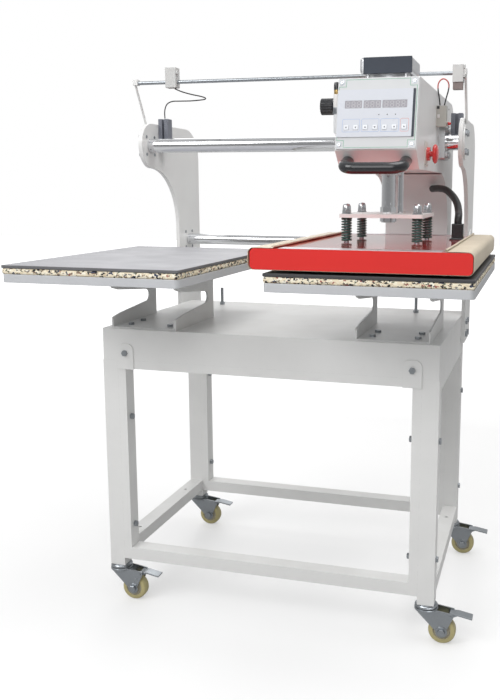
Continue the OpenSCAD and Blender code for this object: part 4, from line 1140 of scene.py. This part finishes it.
@dataclass
class Tables:
    """Rebonded foam boards and silicone pads on the two trays.

    Attributes:
        corner: Radius of a board's corners.
        cell: Length of a face along a board's edge.
        ragged: How far the cut edge of the foam wanders.
        pad_round: Rounding of a pad's rim.
    """

    corner: float = 0.004
    cell: float = 0.0035
    ragged: float = 0.0007
    pad_round: float = 0.0012

    def halves(self, node: str) -> list[tuple[Vector, Vector]]:
        """Splits a node's box into its left and right board.

        Args:
            node: The CAD node that holds both boards.

        Returns:
            The lowest and highest corner of each board.
        """
        low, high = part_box(node)
        width = min(high.x - low.x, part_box("table_trays")[1].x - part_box("table_trays")[0].x) - self.aisle()
        board = width / 2
        return [(low.copy(), Vector((low.x + board, high.y, high.z))),
                (Vector((high.x - board, low.y, low.z)), high.copy())]

    def aisle(self) -> float:
        """Gives the free width between the two boards."""
        points = [v.co.x for v in frame["nodes"]["table_pads"].data.vertices]
        return min(x for x in points if x > 0) - max(x for x in points if x < 0)

    def foam(self, name: str, low: Vector, high: Vector) -> bpy.types.Object:
        """Makes a foam board with a ragged cut edge.

        Args:
            name: The piece's name.
            low: Lowest corner.
            high: Highest corner.

        Returns:
            The board.
        """
        obj = block(name, low, high)
        modified(obj, "BEVEL", width=self.corner, segments=3, limit_method="ANGLE", affect="EDGES",
                 angle_limit=math.radians(80), use_clamp_overlap=True, profile=0.5)
        activate(obj)
        bpy.ops.object.mode_set(mode="EDIT")
        bpy.ops.mesh.select_all(action="SELECT")
        for place in self.cuts(low.x, high.x):
            self.slice_through((place, 0, 0), (1, 0, 0))
        for place in self.cuts(low.y, high.y):
            self.slice_through((0, place, 0), (0, 1, 0))
        for share in (0.25, 0.5, 0.75):
            self.slice_through((0, 0, low.z + share * (high.z - low.z)), (0, 0, 1))
        bpy.ops.object.mode_set(mode="OBJECT")
        middle = (low + high) / 2
        for vertex in obj.data.vertices:
            if low.z + 1e-4 < vertex.co.z < high.z - 1e-4:
                outward = Vector((vertex.co.x - middle.x, vertex.co.y - middle.y, 0)).normalized()
                vertex.co -= outward * self.ragged * max(0.0, 0.5 + noise.noise(vertex.co * 300))
        return smooth(obj, 60)

    def cuts(self, start: float, end: float) -> list[float]:
        """Gives the places of the cuts that split a board's edge into cells."""
        count = int((end - start) / self.cell / 3)
        return [start + (end - start) * (i + 1) / (count + 1) for i in range(count)]

    def slice_through(self, place: Point, normal: Point) -> None:
        """Cuts the mesh in edit mode along a plane and keeps both sides."""
        bpy.ops.mesh.select_all(action="SELECT")
        bpy.ops.mesh.bisect(plane_co=place, plane_no=normal)

    def pad(self, name: str, low: Vector, high: Vector) -> bpy.types.Object:
        """Makes a silicone pad with a soft rim.

        Args:
            name: The piece's name.
            low: Lowest corner.
            high: Highest corner.

        Returns:
            The pad.
        """
        obj = block(name, low, high, self.pad_round, 3)
        return obj

    def build(self) -> None:
        """Builds the boards and pads of both tables."""
        names = ("left", "right")
        boards = [dress(self.foam(f"{side}_foam", *span), FOAM)
                  for side, span in zip(names, self.halves("foam_boards"))]
        pads = [self.pad(f"{side}_pad", *span) for side, span in zip(names, self.halves("table_pads"))]
        dress(pads[0], PAD_EDGE)
        # Painted sheen on the left pad's up-facing faces; its edges keep the dark silicone colour.
        dress(pads[0], PAD_TOP_SHEEN, lies_up)
        dress(pads[1], PAD_DARK)
        for obj in boards:
            present(obj, "foam_boards")
        for obj in pads:
            present(obj, "table_pads")
        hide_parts("foam_boards")
        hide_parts("table_pads")


# ---- Press head ----


@dataclass
class Head:
    """Carriage, case, cylinder, handle, stop button, switch and regulator.

    Attributes:
        case_round: Rounding of the case's edges.
        cap_round: Rounding of the cylinder cap's upright edges.
        cap_height: Height of the cylinder's cap.
        barrel: Radius of the cylinder's barrel.
        bore: Radius of the barrel's bore.
        sunk: How deep the barrel and its tie rods reach into the case.
        tie_place: How far each tie rod stands from the middle, both ways.
        gland: Outline of the gland under the case.
        plate_half: Half the stop button's plate, along and upwards.
        plate_thick: Thickness of the stop button's plate.
        tie_rod: Radius of a tie rod.
    """

    case_round: float = 0.0030
    cap_round: float = 0.0075
    cap_height: float = 0.0345
    barrel: float = 0.036
    bore: float = 0.022
    sunk: float = 0.020
    tie_place: float = 0.040
    gland: Profile = ((0.016, 0.0), (0.024, 0.0), (0.026, 0.002), (0.026, 0.020), (0.016, 0.020))
    plate_half: tuple[float, float] = (0.024, 0.026)
    plate_thick: float = 0.0012
    tie_rod: float = 0.0045

    def cylinder(self) -> None:
        """Builds the air cylinder: barrel, cap, tie rods and front label."""
        low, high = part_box("air_cylinder")
        case_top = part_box("head_case")[1].z
        middle = (low + high) / 2
        half = (high.x - low.x) / 2
        cap_low = high.z - self.cap_height
        centre = Vector((middle.x, middle.y, 0))
        foot = case_top - self.sunk
        outline = [(self.bore, foot), (self.barrel, foot), (self.barrel, cap_low), (self.bore, cap_low),
                   (self.bore, foot)]
        parts = [dress(turned("barrel", outline, centre, Axis.Z.value, 64), ALUMINIUM)]
        for sx in (-1, 1):
            for sy in (-1, 1):
                start = centre + Vector((sx * self.tie_place, sy * self.tie_place, foot))
                end = Vector((start.x, start.y, cap_low))
                parts.append(dress(rod("tie", self.tie_rod, start, end, 24), STEEL))
        cap = block("cap", (centre.x - half, centre.y - half, cap_low),
                    (centre.x + half, centre.y + half, high.z), self.cap_round, 5)
        parts.append(dress(cap, ALUMINIUM))
        label = block("label", (centre.x - half + 0.008, centre.y - half - 0.0006, cap_low + 0.0005),
                      (centre.x + half - 0.001, centre.y - half + 0.004, high.z - 0.0012), 0.0007)
        parts.append(dress(label, SLATE))
        gland = turned("gland", self.gland, Vector((middle.x, middle.y, low.z)), Axis.Z.value)
        parts.append(dress(gland, STEEL))
        present(joined("cylinder", parts), "air_cylinder", True)

    def label_plate(self) -> None:
        """Fixes a blank pale plate behind the stop button."""
        low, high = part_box("stop_button")
        y, z = (low.y + high.y) / 2, (low.z + high.z) / 2
        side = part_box("head_case")[1].x
        along, upwards = self.plate_half
        face = side + self.plate_thick
        plate = block("plate", (side, y - along, z - upwards), (face, y + along, z + upwards), 0.0005)
        parts = [dress(plate, LABEL_PLATE)]
        head = [(0.0, 0.0010), (0.0008, 0.0010), (0.0018, 0.0006), (0.0020, 0.0)]
        for sy in (-1, 1):
            place = Vector((face, y + sy * (along - 0.004), z - upwards + 0.004))
            parts.append(dress(turned("rivet", head, place, Axis.X.value, 16), ZINC))
        present(joined("stop_label_plate", parts), "stop_button_base")

    def switch_screws(self) -> None:
        """Puts two dark screws and a moulded lip on the switch's outer side."""
        low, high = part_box("limit_switch")
        mid = (low.z + high.z) / 2
        parts = []
        head = [(0.0, 0.0003), (0.0009, 0.0003), (0.0012, 0.0009), (0.0019, 0.0007), (0.0021, 0.0)]
        for y, z in ((low.y + 0.004, mid - 0.016), (high.y - 0.004, mid + 0.016)):
            parts.append(dress(turned("screw", head, Vector((high.x, y, z)), Axis.X.value, 18), DARK_STEEL))
        lip = block("lip", (low.x + 0.002, low.y - 0.0010, mid - 0.004),
                    (low.x + 0.008, low.y + 0.001, mid + 0.004), 0.0004)
        cap = block("cap", (low.x + 0.001, low.y - 0.0006, high.z - 0.007),
                    (low.x + 0.007, low.y + 0.001, high.z - 0.001), 0.0004)
        parts += [dress(lip, WHITE_PLASTIC), dress(cap, BLACK)]
        present(joined("switch_details", parts), "limit_switch")

    def fittings(self) -> None:
        """Stacks the air line's bowl, collar, brass nipple and elbow beside the regulator."""
        knob_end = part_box("regulator_knob")[1]
        place = Vector((knob_end.x + 0.0075, knob_end.y - 0.053, 0))
        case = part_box("head_case")[0].x + 0.002
        stack = (
            ("bowl", BOWL, 1.128,
             [(0.0, 0.0), (0.004, 0.0006), (0.0062, 0.004), (0.0066, 0.042), (0.0, 0.042)]),
            ("collar", ZINC, 1.170,
             [(0.0, 0.0), (0.0075, 0.0), (0.008, 0.001), (0.008, 0.014), (0.0, 0.014)]),
            ("valve", WHITE_PLASTIC, 1.184,
             [(0.0, 0.0), (0.0068, 0.0), (0.0074, 0.002), (0.0070, 0.028), (0.0, 0.029)]),
            ("nipple", BRASS, 1.212,
             [(0.0, 0.0), (0.0055, 0.0), (0.0058, 0.001), (0.0058, 0.009), (0.0, 0.010)]),
            ("elbow", BLACK, 1.221,
             [(0.0, 0.0), (0.0060, 0.0), (0.0062, 0.010), (0.0050, 0.016), (0.0, 0.018)]))
        parts = [dress(turned(name, outline, place + Vector((0, 0, z)), Axis.Z.value, 28), finish)
                 for name, finish, z, outline in stack]
        for name, finish, z, radius in (("branch", BLACK, 1.230, 0.0045), ("inlet", ZINC, 1.198, 0.0050)):
            start = place + Vector((0, 0, z))
            parts.append(dress(rod(name, radius, start, Vector((case, start.y, z)), 24, 0.0004), finish))
        present(joined("air_fittings", parts), "air_regulator")

    def build(self) -> None:
        """Builds the whole head but for its panel."""
        softened("carriage", 0.0016, HEAD_COAT)
        softened("head_case", self.case_round, HEAD_COAT, 3)
        softened("rail_bearings", 0.0006, BEARING)
        self.cylinder()
        softened("carry_handle", 0.0004, BLACK)
        base = softened("stop_button_base", 0.0006)
        plate_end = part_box("stop_button_base")[0].x + 0.004
        dress(base, RED_PLASTIC, lambda face: face.center.x > plate_end)
        softened("stop_button", 0.0012, RED_PLASTIC, 3)
        self.label_plate()
        softened("limit_switch", 0.0010)
        self.switch_screws()
        softened("switch_plunger", 0.0006, RED_PLASTIC)
        softened("air_regulator", 0.0012)
        self.fittings()
        softened("regulator_knob", 0.0010, BLACK)


@dataclass
class Panel:
    """The control panel's films, windows, digits, lamps, outlines and screws.

    Attributes:
        middle: Middle of the panel's outer plate on the case.
        lean: How far the panel leans back, in radians.
        plate: Width and height of the outer plate.
        inner: Left end, right end and half height of the inner plate.
        outer_face: Height of the outer plate's face over the case.
        face: Height of the inner plate's face over the case.
        windows: Middle, width and digits of each display window.
        window_row: How far the windows lie over the middle.
        window_half: Half of a window's height.
        step: How far the printed border steps in round a screw.
        screw_edge: How far a screw lies from the plate's edges.
        key_pitch: From one key to the next.
        key_shift: How far the row of keys lies left of the middle.
        key_count: How many keys there are.
        key_row: Where the keys lie, upwards from the middle.
        key_rise: Height of a key's face over the inner plate's face.
        arrow_size: Radius of the arrow on a key.
        down_keys: Keys whose arrow points down.
        key_boxes: Middle, width and ink of each outline round the keys.
        box_row: Where the outlines lie, upwards from the middle.
        box_tall: Height of the outlines.
        lamp_places: Where each lamp lies across the panel.
        lamp_row: Where the lamps lie, upwards from the middle.
        digit_pitch: From one digit to the next.
        digit_tall: Height of a digit.
        digit_rise: Thickness of a digit's bars.
        border_line: Width of the printed border's line.
    """

    middle: Vector
    lean: float
    plate: tuple[float, float] = (0.162, 0.142)
    inner: tuple[float, float, float] = (-0.079, 0.071, 0.0475)
    outer_face: float = 0.003
    face: float = 0.005
    windows: tuple[tuple[float, float, int], ...] = (
        (-0.0473, 0.035, 3), (-0.0093, 0.035, 3), (0.0357, 0.049, 4))
    window_row: float = 0.0175
    window_half: float = 0.0077
    step: float = 0.014
    screw_edge: float = 0.0085
    key_pitch: float = 0.0193
    key_shift: float = 0.0019
    key_count: int = 7
    key_row: float = -0.0284
    key_rise: float = 0.00105
    arrow_size: float = 0.0022
    down_keys: tuple[int, ...] = (2, 4)
    key_boxes: tuple[tuple[float, float, Finish], ...] = (
        (-0.0502, 0.0357, PRINT_BLUE), (-0.0114, 0.0357, PRINT_BLUE), (0.0273, 0.0369, PRINT_BLUE),
        (0.0568, 0.0170, PRINT_RED))
    box_row: float = -0.0246
    box_tall: float = 0.0262
    lamp_places: tuple[float, ...] = (0.0049, 0.0217, 0.0381)
    lamp_row: float = -0.0036
    digit_pitch: float = 0.0112
    digit_tall: float = 0.0118
    digit_rise: float = 0.00015
    border_line: float = 0.0008

    def stand_up(self, obj: bpy.types.Object) -> bpy.types.Object:
        """Moves a piece from the panel's own frame onto the case."""
        turn = Matrix.Rotation(math.pi / 2 - self.lean, 4, "X")
        obj.data.transform(Matrix.Translation(self.middle) @ turn)
        return obj

    def outline(self, name: str, centre: tuple[float, float], size: tuple[float, float], corner: float,
                line: float, height: float, finish: Finish) -> bpy.types.Object:
        """Prints a thin rounded outline.

        Args:
            name: The part's name.
            centre: Its middle on the panel.
            size: Its width and height.
            corner: Radius of its corners.
            line: Width of its line.
            height: Height of the face that it lies on.
            finish: Its ink.

        Returns:
            The outline.
        """
        bpy.ops.object.select_all(action="DESELECT")
        bpy.ops.mesh.primitive_plane_add(size=1)
        obj = bpy.context.object
        obj.name = obj.data.name = name
        obj.data.transform(Matrix.Translation((*centre, height)) @ Matrix.Diagonal((*size, 1, 1)))
        activate(obj)
        bpy.ops.object.mode_set(mode="EDIT")
        bpy.ops.mesh.select_all(action="SELECT")
        bpy.ops.mesh.bevel(offset=corner, segments=5, affect="VERTICES")
        bpy.ops.mesh.inset(thickness=line)
        bpy.ops.mesh.delete(type="FACE")
        bpy.ops.object.mode_set(mode="OBJECT")
        modified(obj, "SOLIDIFY", thickness=0.0001, offset=1.0)
        return dress(obj, finish)

    def digit(self, x: float, y: float, tall: float, height: float) -> list[bpy.types.Object]:
        """Makes one unlit seven-segment digit.

        Args:
            x: Middle of the digit.
            y: Middle of the digit.
            tall: The digit's height.
            height: Height of the glass.

        Returns:
            Its seven bars.
        """
        wide, bar = tall * 0.5, tall * 0.11
        flat = [(x, y + k * tall / 2, wide - bar, bar) for k in (-1, 0, 1)]
        upright = [(x + sx * wide / 2, y + sy * tall / 4, bar, tall / 2 - bar)
                   for sx in (-1, 1) for sy in (-1, 1)]
        face = height + self.digit_rise
        return [dress(block("bar", (cx - w / 2, cy - h / 2, height), (cx + w / 2, cy + h / 2, face)), DIGIT)
                for cx, cy, w, h in flat + upright]

    def arrow(self, x: float, y: float, size: float, up: bool, height: float) -> bpy.types.Object:
        """Prints a small arrow head on a key.

        Args:
            x: Its middle.
            y: Its middle.
            size: Its radius.
            up: Whether it points up.
            height: Height of the key's face.

        Returns:
            The arrow head.
        """
        bpy.ops.object.select_all(action="DESELECT")
        bpy.ops.mesh.primitive_cylinder_add(vertices=3, radius=size, depth=0.0001)
        obj = bpy.context.object
        turn = Matrix.Rotation(0.0 if up else math.pi, 4, "Z")
        obj.data.transform(Matrix.Translation((x, y, height)) @ turn)
        return dress(obj, PRINT_DARK)

    def screw(self, x: float, y: float) -> list[bpy.types.Object]:
        """Makes one socket screw with a dark socket on a bright washer."""
        head = [(0.0, 0.0006), (0.0014, 0.0006), (0.0016, 0.0022), (0.0028, 0.0022), (0.0034, 0.0016),
                (0.0036, 0.0)]
        washer = [(0.0030, 0.0004), (0.0052, 0.0004), (0.0054, 0.0)]
        base = Vector((x, y, self.outer_face))
        return [dress(turned("screw", head, base, Axis.Z.value, 24), STEEL),
                dress(turned("washer", washer, base, Axis.Z.value, 24), ZINC)]

    def border(self) -> list[bpy.types.Object]:
        """Prints the green border, which steps in round each screw."""
        x, y = self.plate[0] / 2 - 0.003, self.plate[1] / 2 - 0.003
        quarter = [(x, 0.0), (x, y - self.step), (x - self.step, y - self.step), (x - self.step, y), (0.0, y)]
        line, top = self.border_line / 2, self.outer_face + 0.0001
        lines: list[bpy.types.Object] = []
        for sx in (-1, 1):
            for sy in (-1, 1):
                for (ax, ay), (bx, by) in zip(quarter, quarter[1:]):
                    low = (min(sx * ax, sx * bx) - line, min(sy * ay, sy * by) - line, self.outer_face)
                    high = (max(sx * ax, sx * bx) + line, max(sy * ay, sy * by) + line, top)
                    lines.append(dress(block("border", low, high), PRINT_GREEN))
        return lines

    def printed(self) -> list[bpy.types.Object]:
        """Gives the printed border, outlines and lamps of the inner plate, and the dark shadow edge along its
        right side.
        """
        right, half = self.inner[1:]
        parts = self.border()
        edge = block("shadow_edge", (right, -half, self.outer_face),
                     (right + 0.0045, half, self.face - 0.0002), 0.0003)
        parts.append(dress(edge, SLATE))
        for x, wide, ink in self.key_boxes:
            parts.append(self.outline("key_box", (x, self.box_row), (wide, self.box_tall), 0.003, 0.0007,
                                      self.face, ink))
        lamp = [(0.0, 0.0006), (0.0009, 0.0004), (0.0012, 0.0)]
        for x in self.lamp_places:
            place = Vector((x, self.lamp_row, self.face))
            parts.append(dress(turned("lamp", lamp, place, Axis.Z.value, 16), PRINT_DARK))
        return parts

    def displays(self) -> list[bpy.types.Object]:
        """Gives the glass and the unlit digits of the three windows."""
        parts: list[bpy.types.Object] = []
        low, high = self.window_row - self.window_half, self.window_row + self.window_half
        back = self.face - 0.0009
        front = back + 0.0004
        for x, wide, digits in self.windows:
            half = wide / 2 - 0.0001
            glass = block("glass", (x - half, low, back), (x + half, high, front), 0.0001)
            parts.append(dress(glass, DISPLAY))
            for i in range(digits):
                middle = x + (i - (digits - 1) / 2) * self.digit_pitch
                parts += self.digit(middle, self.window_row, self.digit_tall, front)
        return parts

    def build(self) -> None:
        """Builds the panel and its keys."""
        plate = cad_copy("front_panel", "panel_plate", 0.0004)
        dress(plate, PANEL_FILM)
        front = Vector((0, -math.cos(self.lean), math.sin(self.lean)))
        raised = self.outer_face + 0.0003
        dress(plate, INNER_FILM, lambda face: (Vector(face.center) - self.middle).dot(front) > raised)
        present(plate, "front_panel")
        parts = self.printed() + self.displays()
        across, upwards = (size / 2 - self.screw_edge for size in self.plate)
        for sx in (-1, 1):
            for sy in (-1, 1):
                parts += self.screw(sx * across, sy * upwards)
        present(self.stand_up(joined("panel_details", parts)), "front_panel")
        for number in range(1, self.key_count + 1):
            x = (number - 4) * self.key_pitch - self.key_shift
            node = f"panel_key_{number}"
            key = dress(cad_copy(node, f"key_{number}", 0.0003), KEY_FILM)
            arrow = self.arrow(x, self.key_row, self.arrow_size, number not in self.down_keys,
                               self.face + self.key_rise)
            mark = self.stand_up(arrow)
            present(joined(f"key_{number}", [key, mark]), node)


# ---- Platen ----


@dataclass
class Platen:
    """Heater, cover, non-stick cloth, studs, springs, cross plate and rod.

    Attributes:
        cloth: Thickness of the cloth.
        flap: How far the cloth reaches in over the cover's top.
        slack: How far the cloth stands off the cover's left side.
        hem: How far the cloth ends short of the cover's front and rear.
        trim: Depth of the bright strips.
        turns: Turns of a press spring.
        wire: Radius of a spring's wire.
        steps: Steps in one turn of a spring.
        nut_tall: Height of a stud's nut.
    """

    cloth: float = 0.0007
    flap: float = 0.050
    hem: float = 0.001
    slack: float = 0.0035
    trim: float = 0.040
    turns: float = 9.5
    wire: float = 0.0019
    steps: int = 28
    nut_tall: float = 0.007

    def springs(self) -> None:
        """Winds the four press springs."""
        low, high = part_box("press_springs")
        radius = self.spring_radius()
        coils = []
        for x, y in self.spring_places(low, high, radius):
            points = []
            for i in range(int(self.turns * self.steps) + 1):
                turn = i / self.steps
                share = min(max((turn - 0.75) / (self.turns - 1.5), 0.0), 1.0)
                rise = self.wire + share * (high.z - low.z - 2 * self.wire)
                angle = 2 * math.pi * turn
                points.append(Vector((x + (radius - self.wire) * math.cos(angle),
                                      y + (radius - self.wire) * math.sin(angle), low.z + rise)))
            coils.append(tube("coil", points, self.wire, 8))
        spring = dress(joined("springs", coils), SPRING_PAINT)
        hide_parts("press_springs")
        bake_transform(spring)

    def spring_radius(self) -> float:
        """Gives a spring's outer radius from the CAD sleeves."""
        points = [v.co for v in frame["nodes"]["press_springs"].data.vertices]
        middle = sum(p.x for p in points) / len(points)
        right = [p.x for p in points if p.x > middle]
        return (max(right) - min(right)) / 2

    def spring_places(self, low: Vector, high: Vector, radius: float) -> list[tuple[float, float]]:
        """Gives the middle of each spring, as (x, y)."""
        return [(x, y) for x in (low.x + radius, high.x - radius) for y in (low.y + radius, high.y - radius)]

    def studs(self) -> None:
        """Makes the threaded studs with their washers and domed nuts."""
        spring_low, spring_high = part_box("press_springs")
        low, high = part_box("spring_bolts")
        plate_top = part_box("cross_plate")[1].z
        parts = []
        for x, y in self.spring_places(spring_low, spring_high, self.spring_radius()):
            foot = Vector((x, y, low.z))
            thread = [(0.0, 0.0)]
            rise = 0.0
            while rise < plate_top + 0.004 - low.z:
                thread += [(0.0058, rise), (0.0050, rise + 0.0007)]
                rise += 0.0014
            thread.append((0.0, rise))
            parts.append(dress(turned("thread", thread, foot, Axis.Z.value, 20, 20), STEEL))
            nut_low = plate_top + 0.0012
            washer = [(0.0061, 0.0), (0.0105, 0.0), (0.0105, 0.0011), (0.0061, 0.0011)]
            seat = Vector((x, y, plate_top + 0.0001))
            nut_foot, nut_top = Vector((x, y, nut_low)), Vector((x, y, nut_low + self.nut_tall))
            parts.append(dress(turned("washer", washer, seat, Axis.Z.value, 32), ZINC))
            parts.append(dress(rod("nut", 0.0098, nut_foot, nut_top, 6, 0.0006), STEEL))
            room = high.z - nut_low - self.nut_tall
            dome = [(0.0088, 0.0), (0.0088, 0.3 * room), (0.0082, 0.6 * room), (0.0062, 0.87 * room),
                    (0.0, room)]
            parts.append(dress(turned("dome", dome, nut_top, Axis.Z.value, 32, 60), STEEL))
        present(joined("spring_studs", parts), "spring_bolts", True)

    def section(self, low: Vector, high: Vector, corner: float, gap: float) -> list[tuple[float, float]]:
        """Gives the cloth's line round the cover, from one hem to the other.

        Args:
            low: Lowest corner of the cover.
            high: Highest corner of the cover.
            corner: Radius of the cover's corners.
            gap: How far the cloth lies off the cover.

        Returns:
            Points as (x, z).
        """
        left, right, bottom, top = low.x - gap, high.x + gap, low.z - gap, high.z + gap
        curl = [(left + self.flap + 0.002 * math.sin(a), top + 0.0024 - 0.002 * math.cos(a))
                for a in (math.radians(d) for d in range(270, 0, -45))]
        round_r = corner + gap
        arcs = [((left + round_r, top - round_r), 90, 180), ((left + round_r, bottom + round_r), 180, 270),
                ((right - round_r, bottom + round_r), 270, 360), ((right - round_r, top - round_r), 0, 90)]
        line = list(curl) + [(left + self.flap * k / 6, top) for k in range(6, 1, -1)]
        for (cx, cz), start, end in arcs:
            line += [(cx + round_r * math.cos(math.radians(start + (end - start) * k / 6)),
                      cz + round_r * math.sin(math.radians(start + (end - start) * k / 6))) for k in range(7)]
        line += [(right - self.flap * k / 6, top) for k in range(2, 7)]
        return line + [(left + right - x, z) for x, z in reversed(curl)]

    def wrap(self) -> None:
        """Wraps the non-stick cloth round the heater and over the cover's sides."""
        cover_low, cover_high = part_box("platen_cover")
        slack_side = cover_low - Vector((self.slack, 0, 0))
        line = self.section(slack_side, cover_high + Vector((0.0008, 0, 0)), 0.009, 0.0006)
        bands = 36
        length = cover_high.y - cover_low.y - 2 * self.hem
        rows = [cover_low.y + self.hem + length * j / bands for j in range(bands + 1)]
        points = [self.draped(x, y, z, cover_high.z) for y in rows for x, z in line]
        count = len(line)
        faces = [(j * count + i, j * count + i + 1, (j + 1) * count + i + 1, (j + 1) * count + i)
                 for j in range(bands) for i in range(count - 1)]
        mesh = bpy.data.meshes.new("cloth")
        mesh.from_pydata(points, [], faces)
        obj = bpy.data.objects.new("cloth", mesh)
        bpy.context.scene.collection.objects.link(obj)
        along = [0.0]
        for (ax, az), (bx, bz) in zip(line, line[1:]):
            along.append(along[-1] + math.hypot(bx - ax, bz - az))
        coordinates = mesh.uv_layers.new(name="cloth").data
        for loop, corner in zip(mesh.loops, coordinates):
            row, column = divmod(loop.vertex_index, count)
            corner.uv = (along[column], rows[row])
        modified(obj, "SOLIDIFY", thickness=self.cloth, offset=0.0)
        dress(smooth(obj, 60), CLOTH)
        present(obj, "platen_fabric", True)

    def draped(self, x: float, y: float, z: float, top: float) -> Point:
        """Lets the cloth's free flap wander a little, as it isn't glued down."""
        if z < top:
            return (x, y, z)
        wander = 0.0012 * noise.noise(Vector((x * 20, y * 14, 3.0)))
        return (x + wander, y, z + 0.0006 * (1 + noise.noise(Vector((x * 30, y * 22, 9.0)))))

    def trims(self) -> None:
        """Lays the bright strips along the cover's front and rear edges."""
        low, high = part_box("platen_cover")
        for name, y in (("front_trim", low.y + 0.003), ("rear_trim", high.y - 0.003 - self.trim)):
            strip = block(name, (low.x + self.flap + 0.006, y, high.z),
                          (high.x - self.flap - 0.006, y + self.trim, high.z + 0.0008), 0.0003)
            present(dress(strip, ALUMINIUM), "platen_cover")

    def build(self) -> None:
        """Builds the whole platen and its ram."""
        softened("platen_cover", 0.0014, RED_ENAMEL, 3)
        softened("heater_plate", 0.0010)
        self.trims()
        self.wrap()
        self.springs()
        self.studs()
        softened("cross_plate", 0.0010, WHITE_COAT)
        softened("piston_rod", 0.0006, CHROME)
        softened("hose_socket", 0.0010)


def main() -> None:
    """Builds the studio, the cords and every sub-assembly."""
    logging.basicConfig(level=logging.INFO, format="%(name)s: %(message)s")
    studio = Studio()
    studio.place_camera()
    Cords().build()
    studio.build()
    Stand().build()
    Casters().build()
    Tables().build()
    Head().build()
    lean = math.atan(30 / 142)
    Panel(middle=Vector((0.272, -0.251, 1.158)), lean=lean).build()
    Platen().build()


if __name__ == "__main__":
    main()
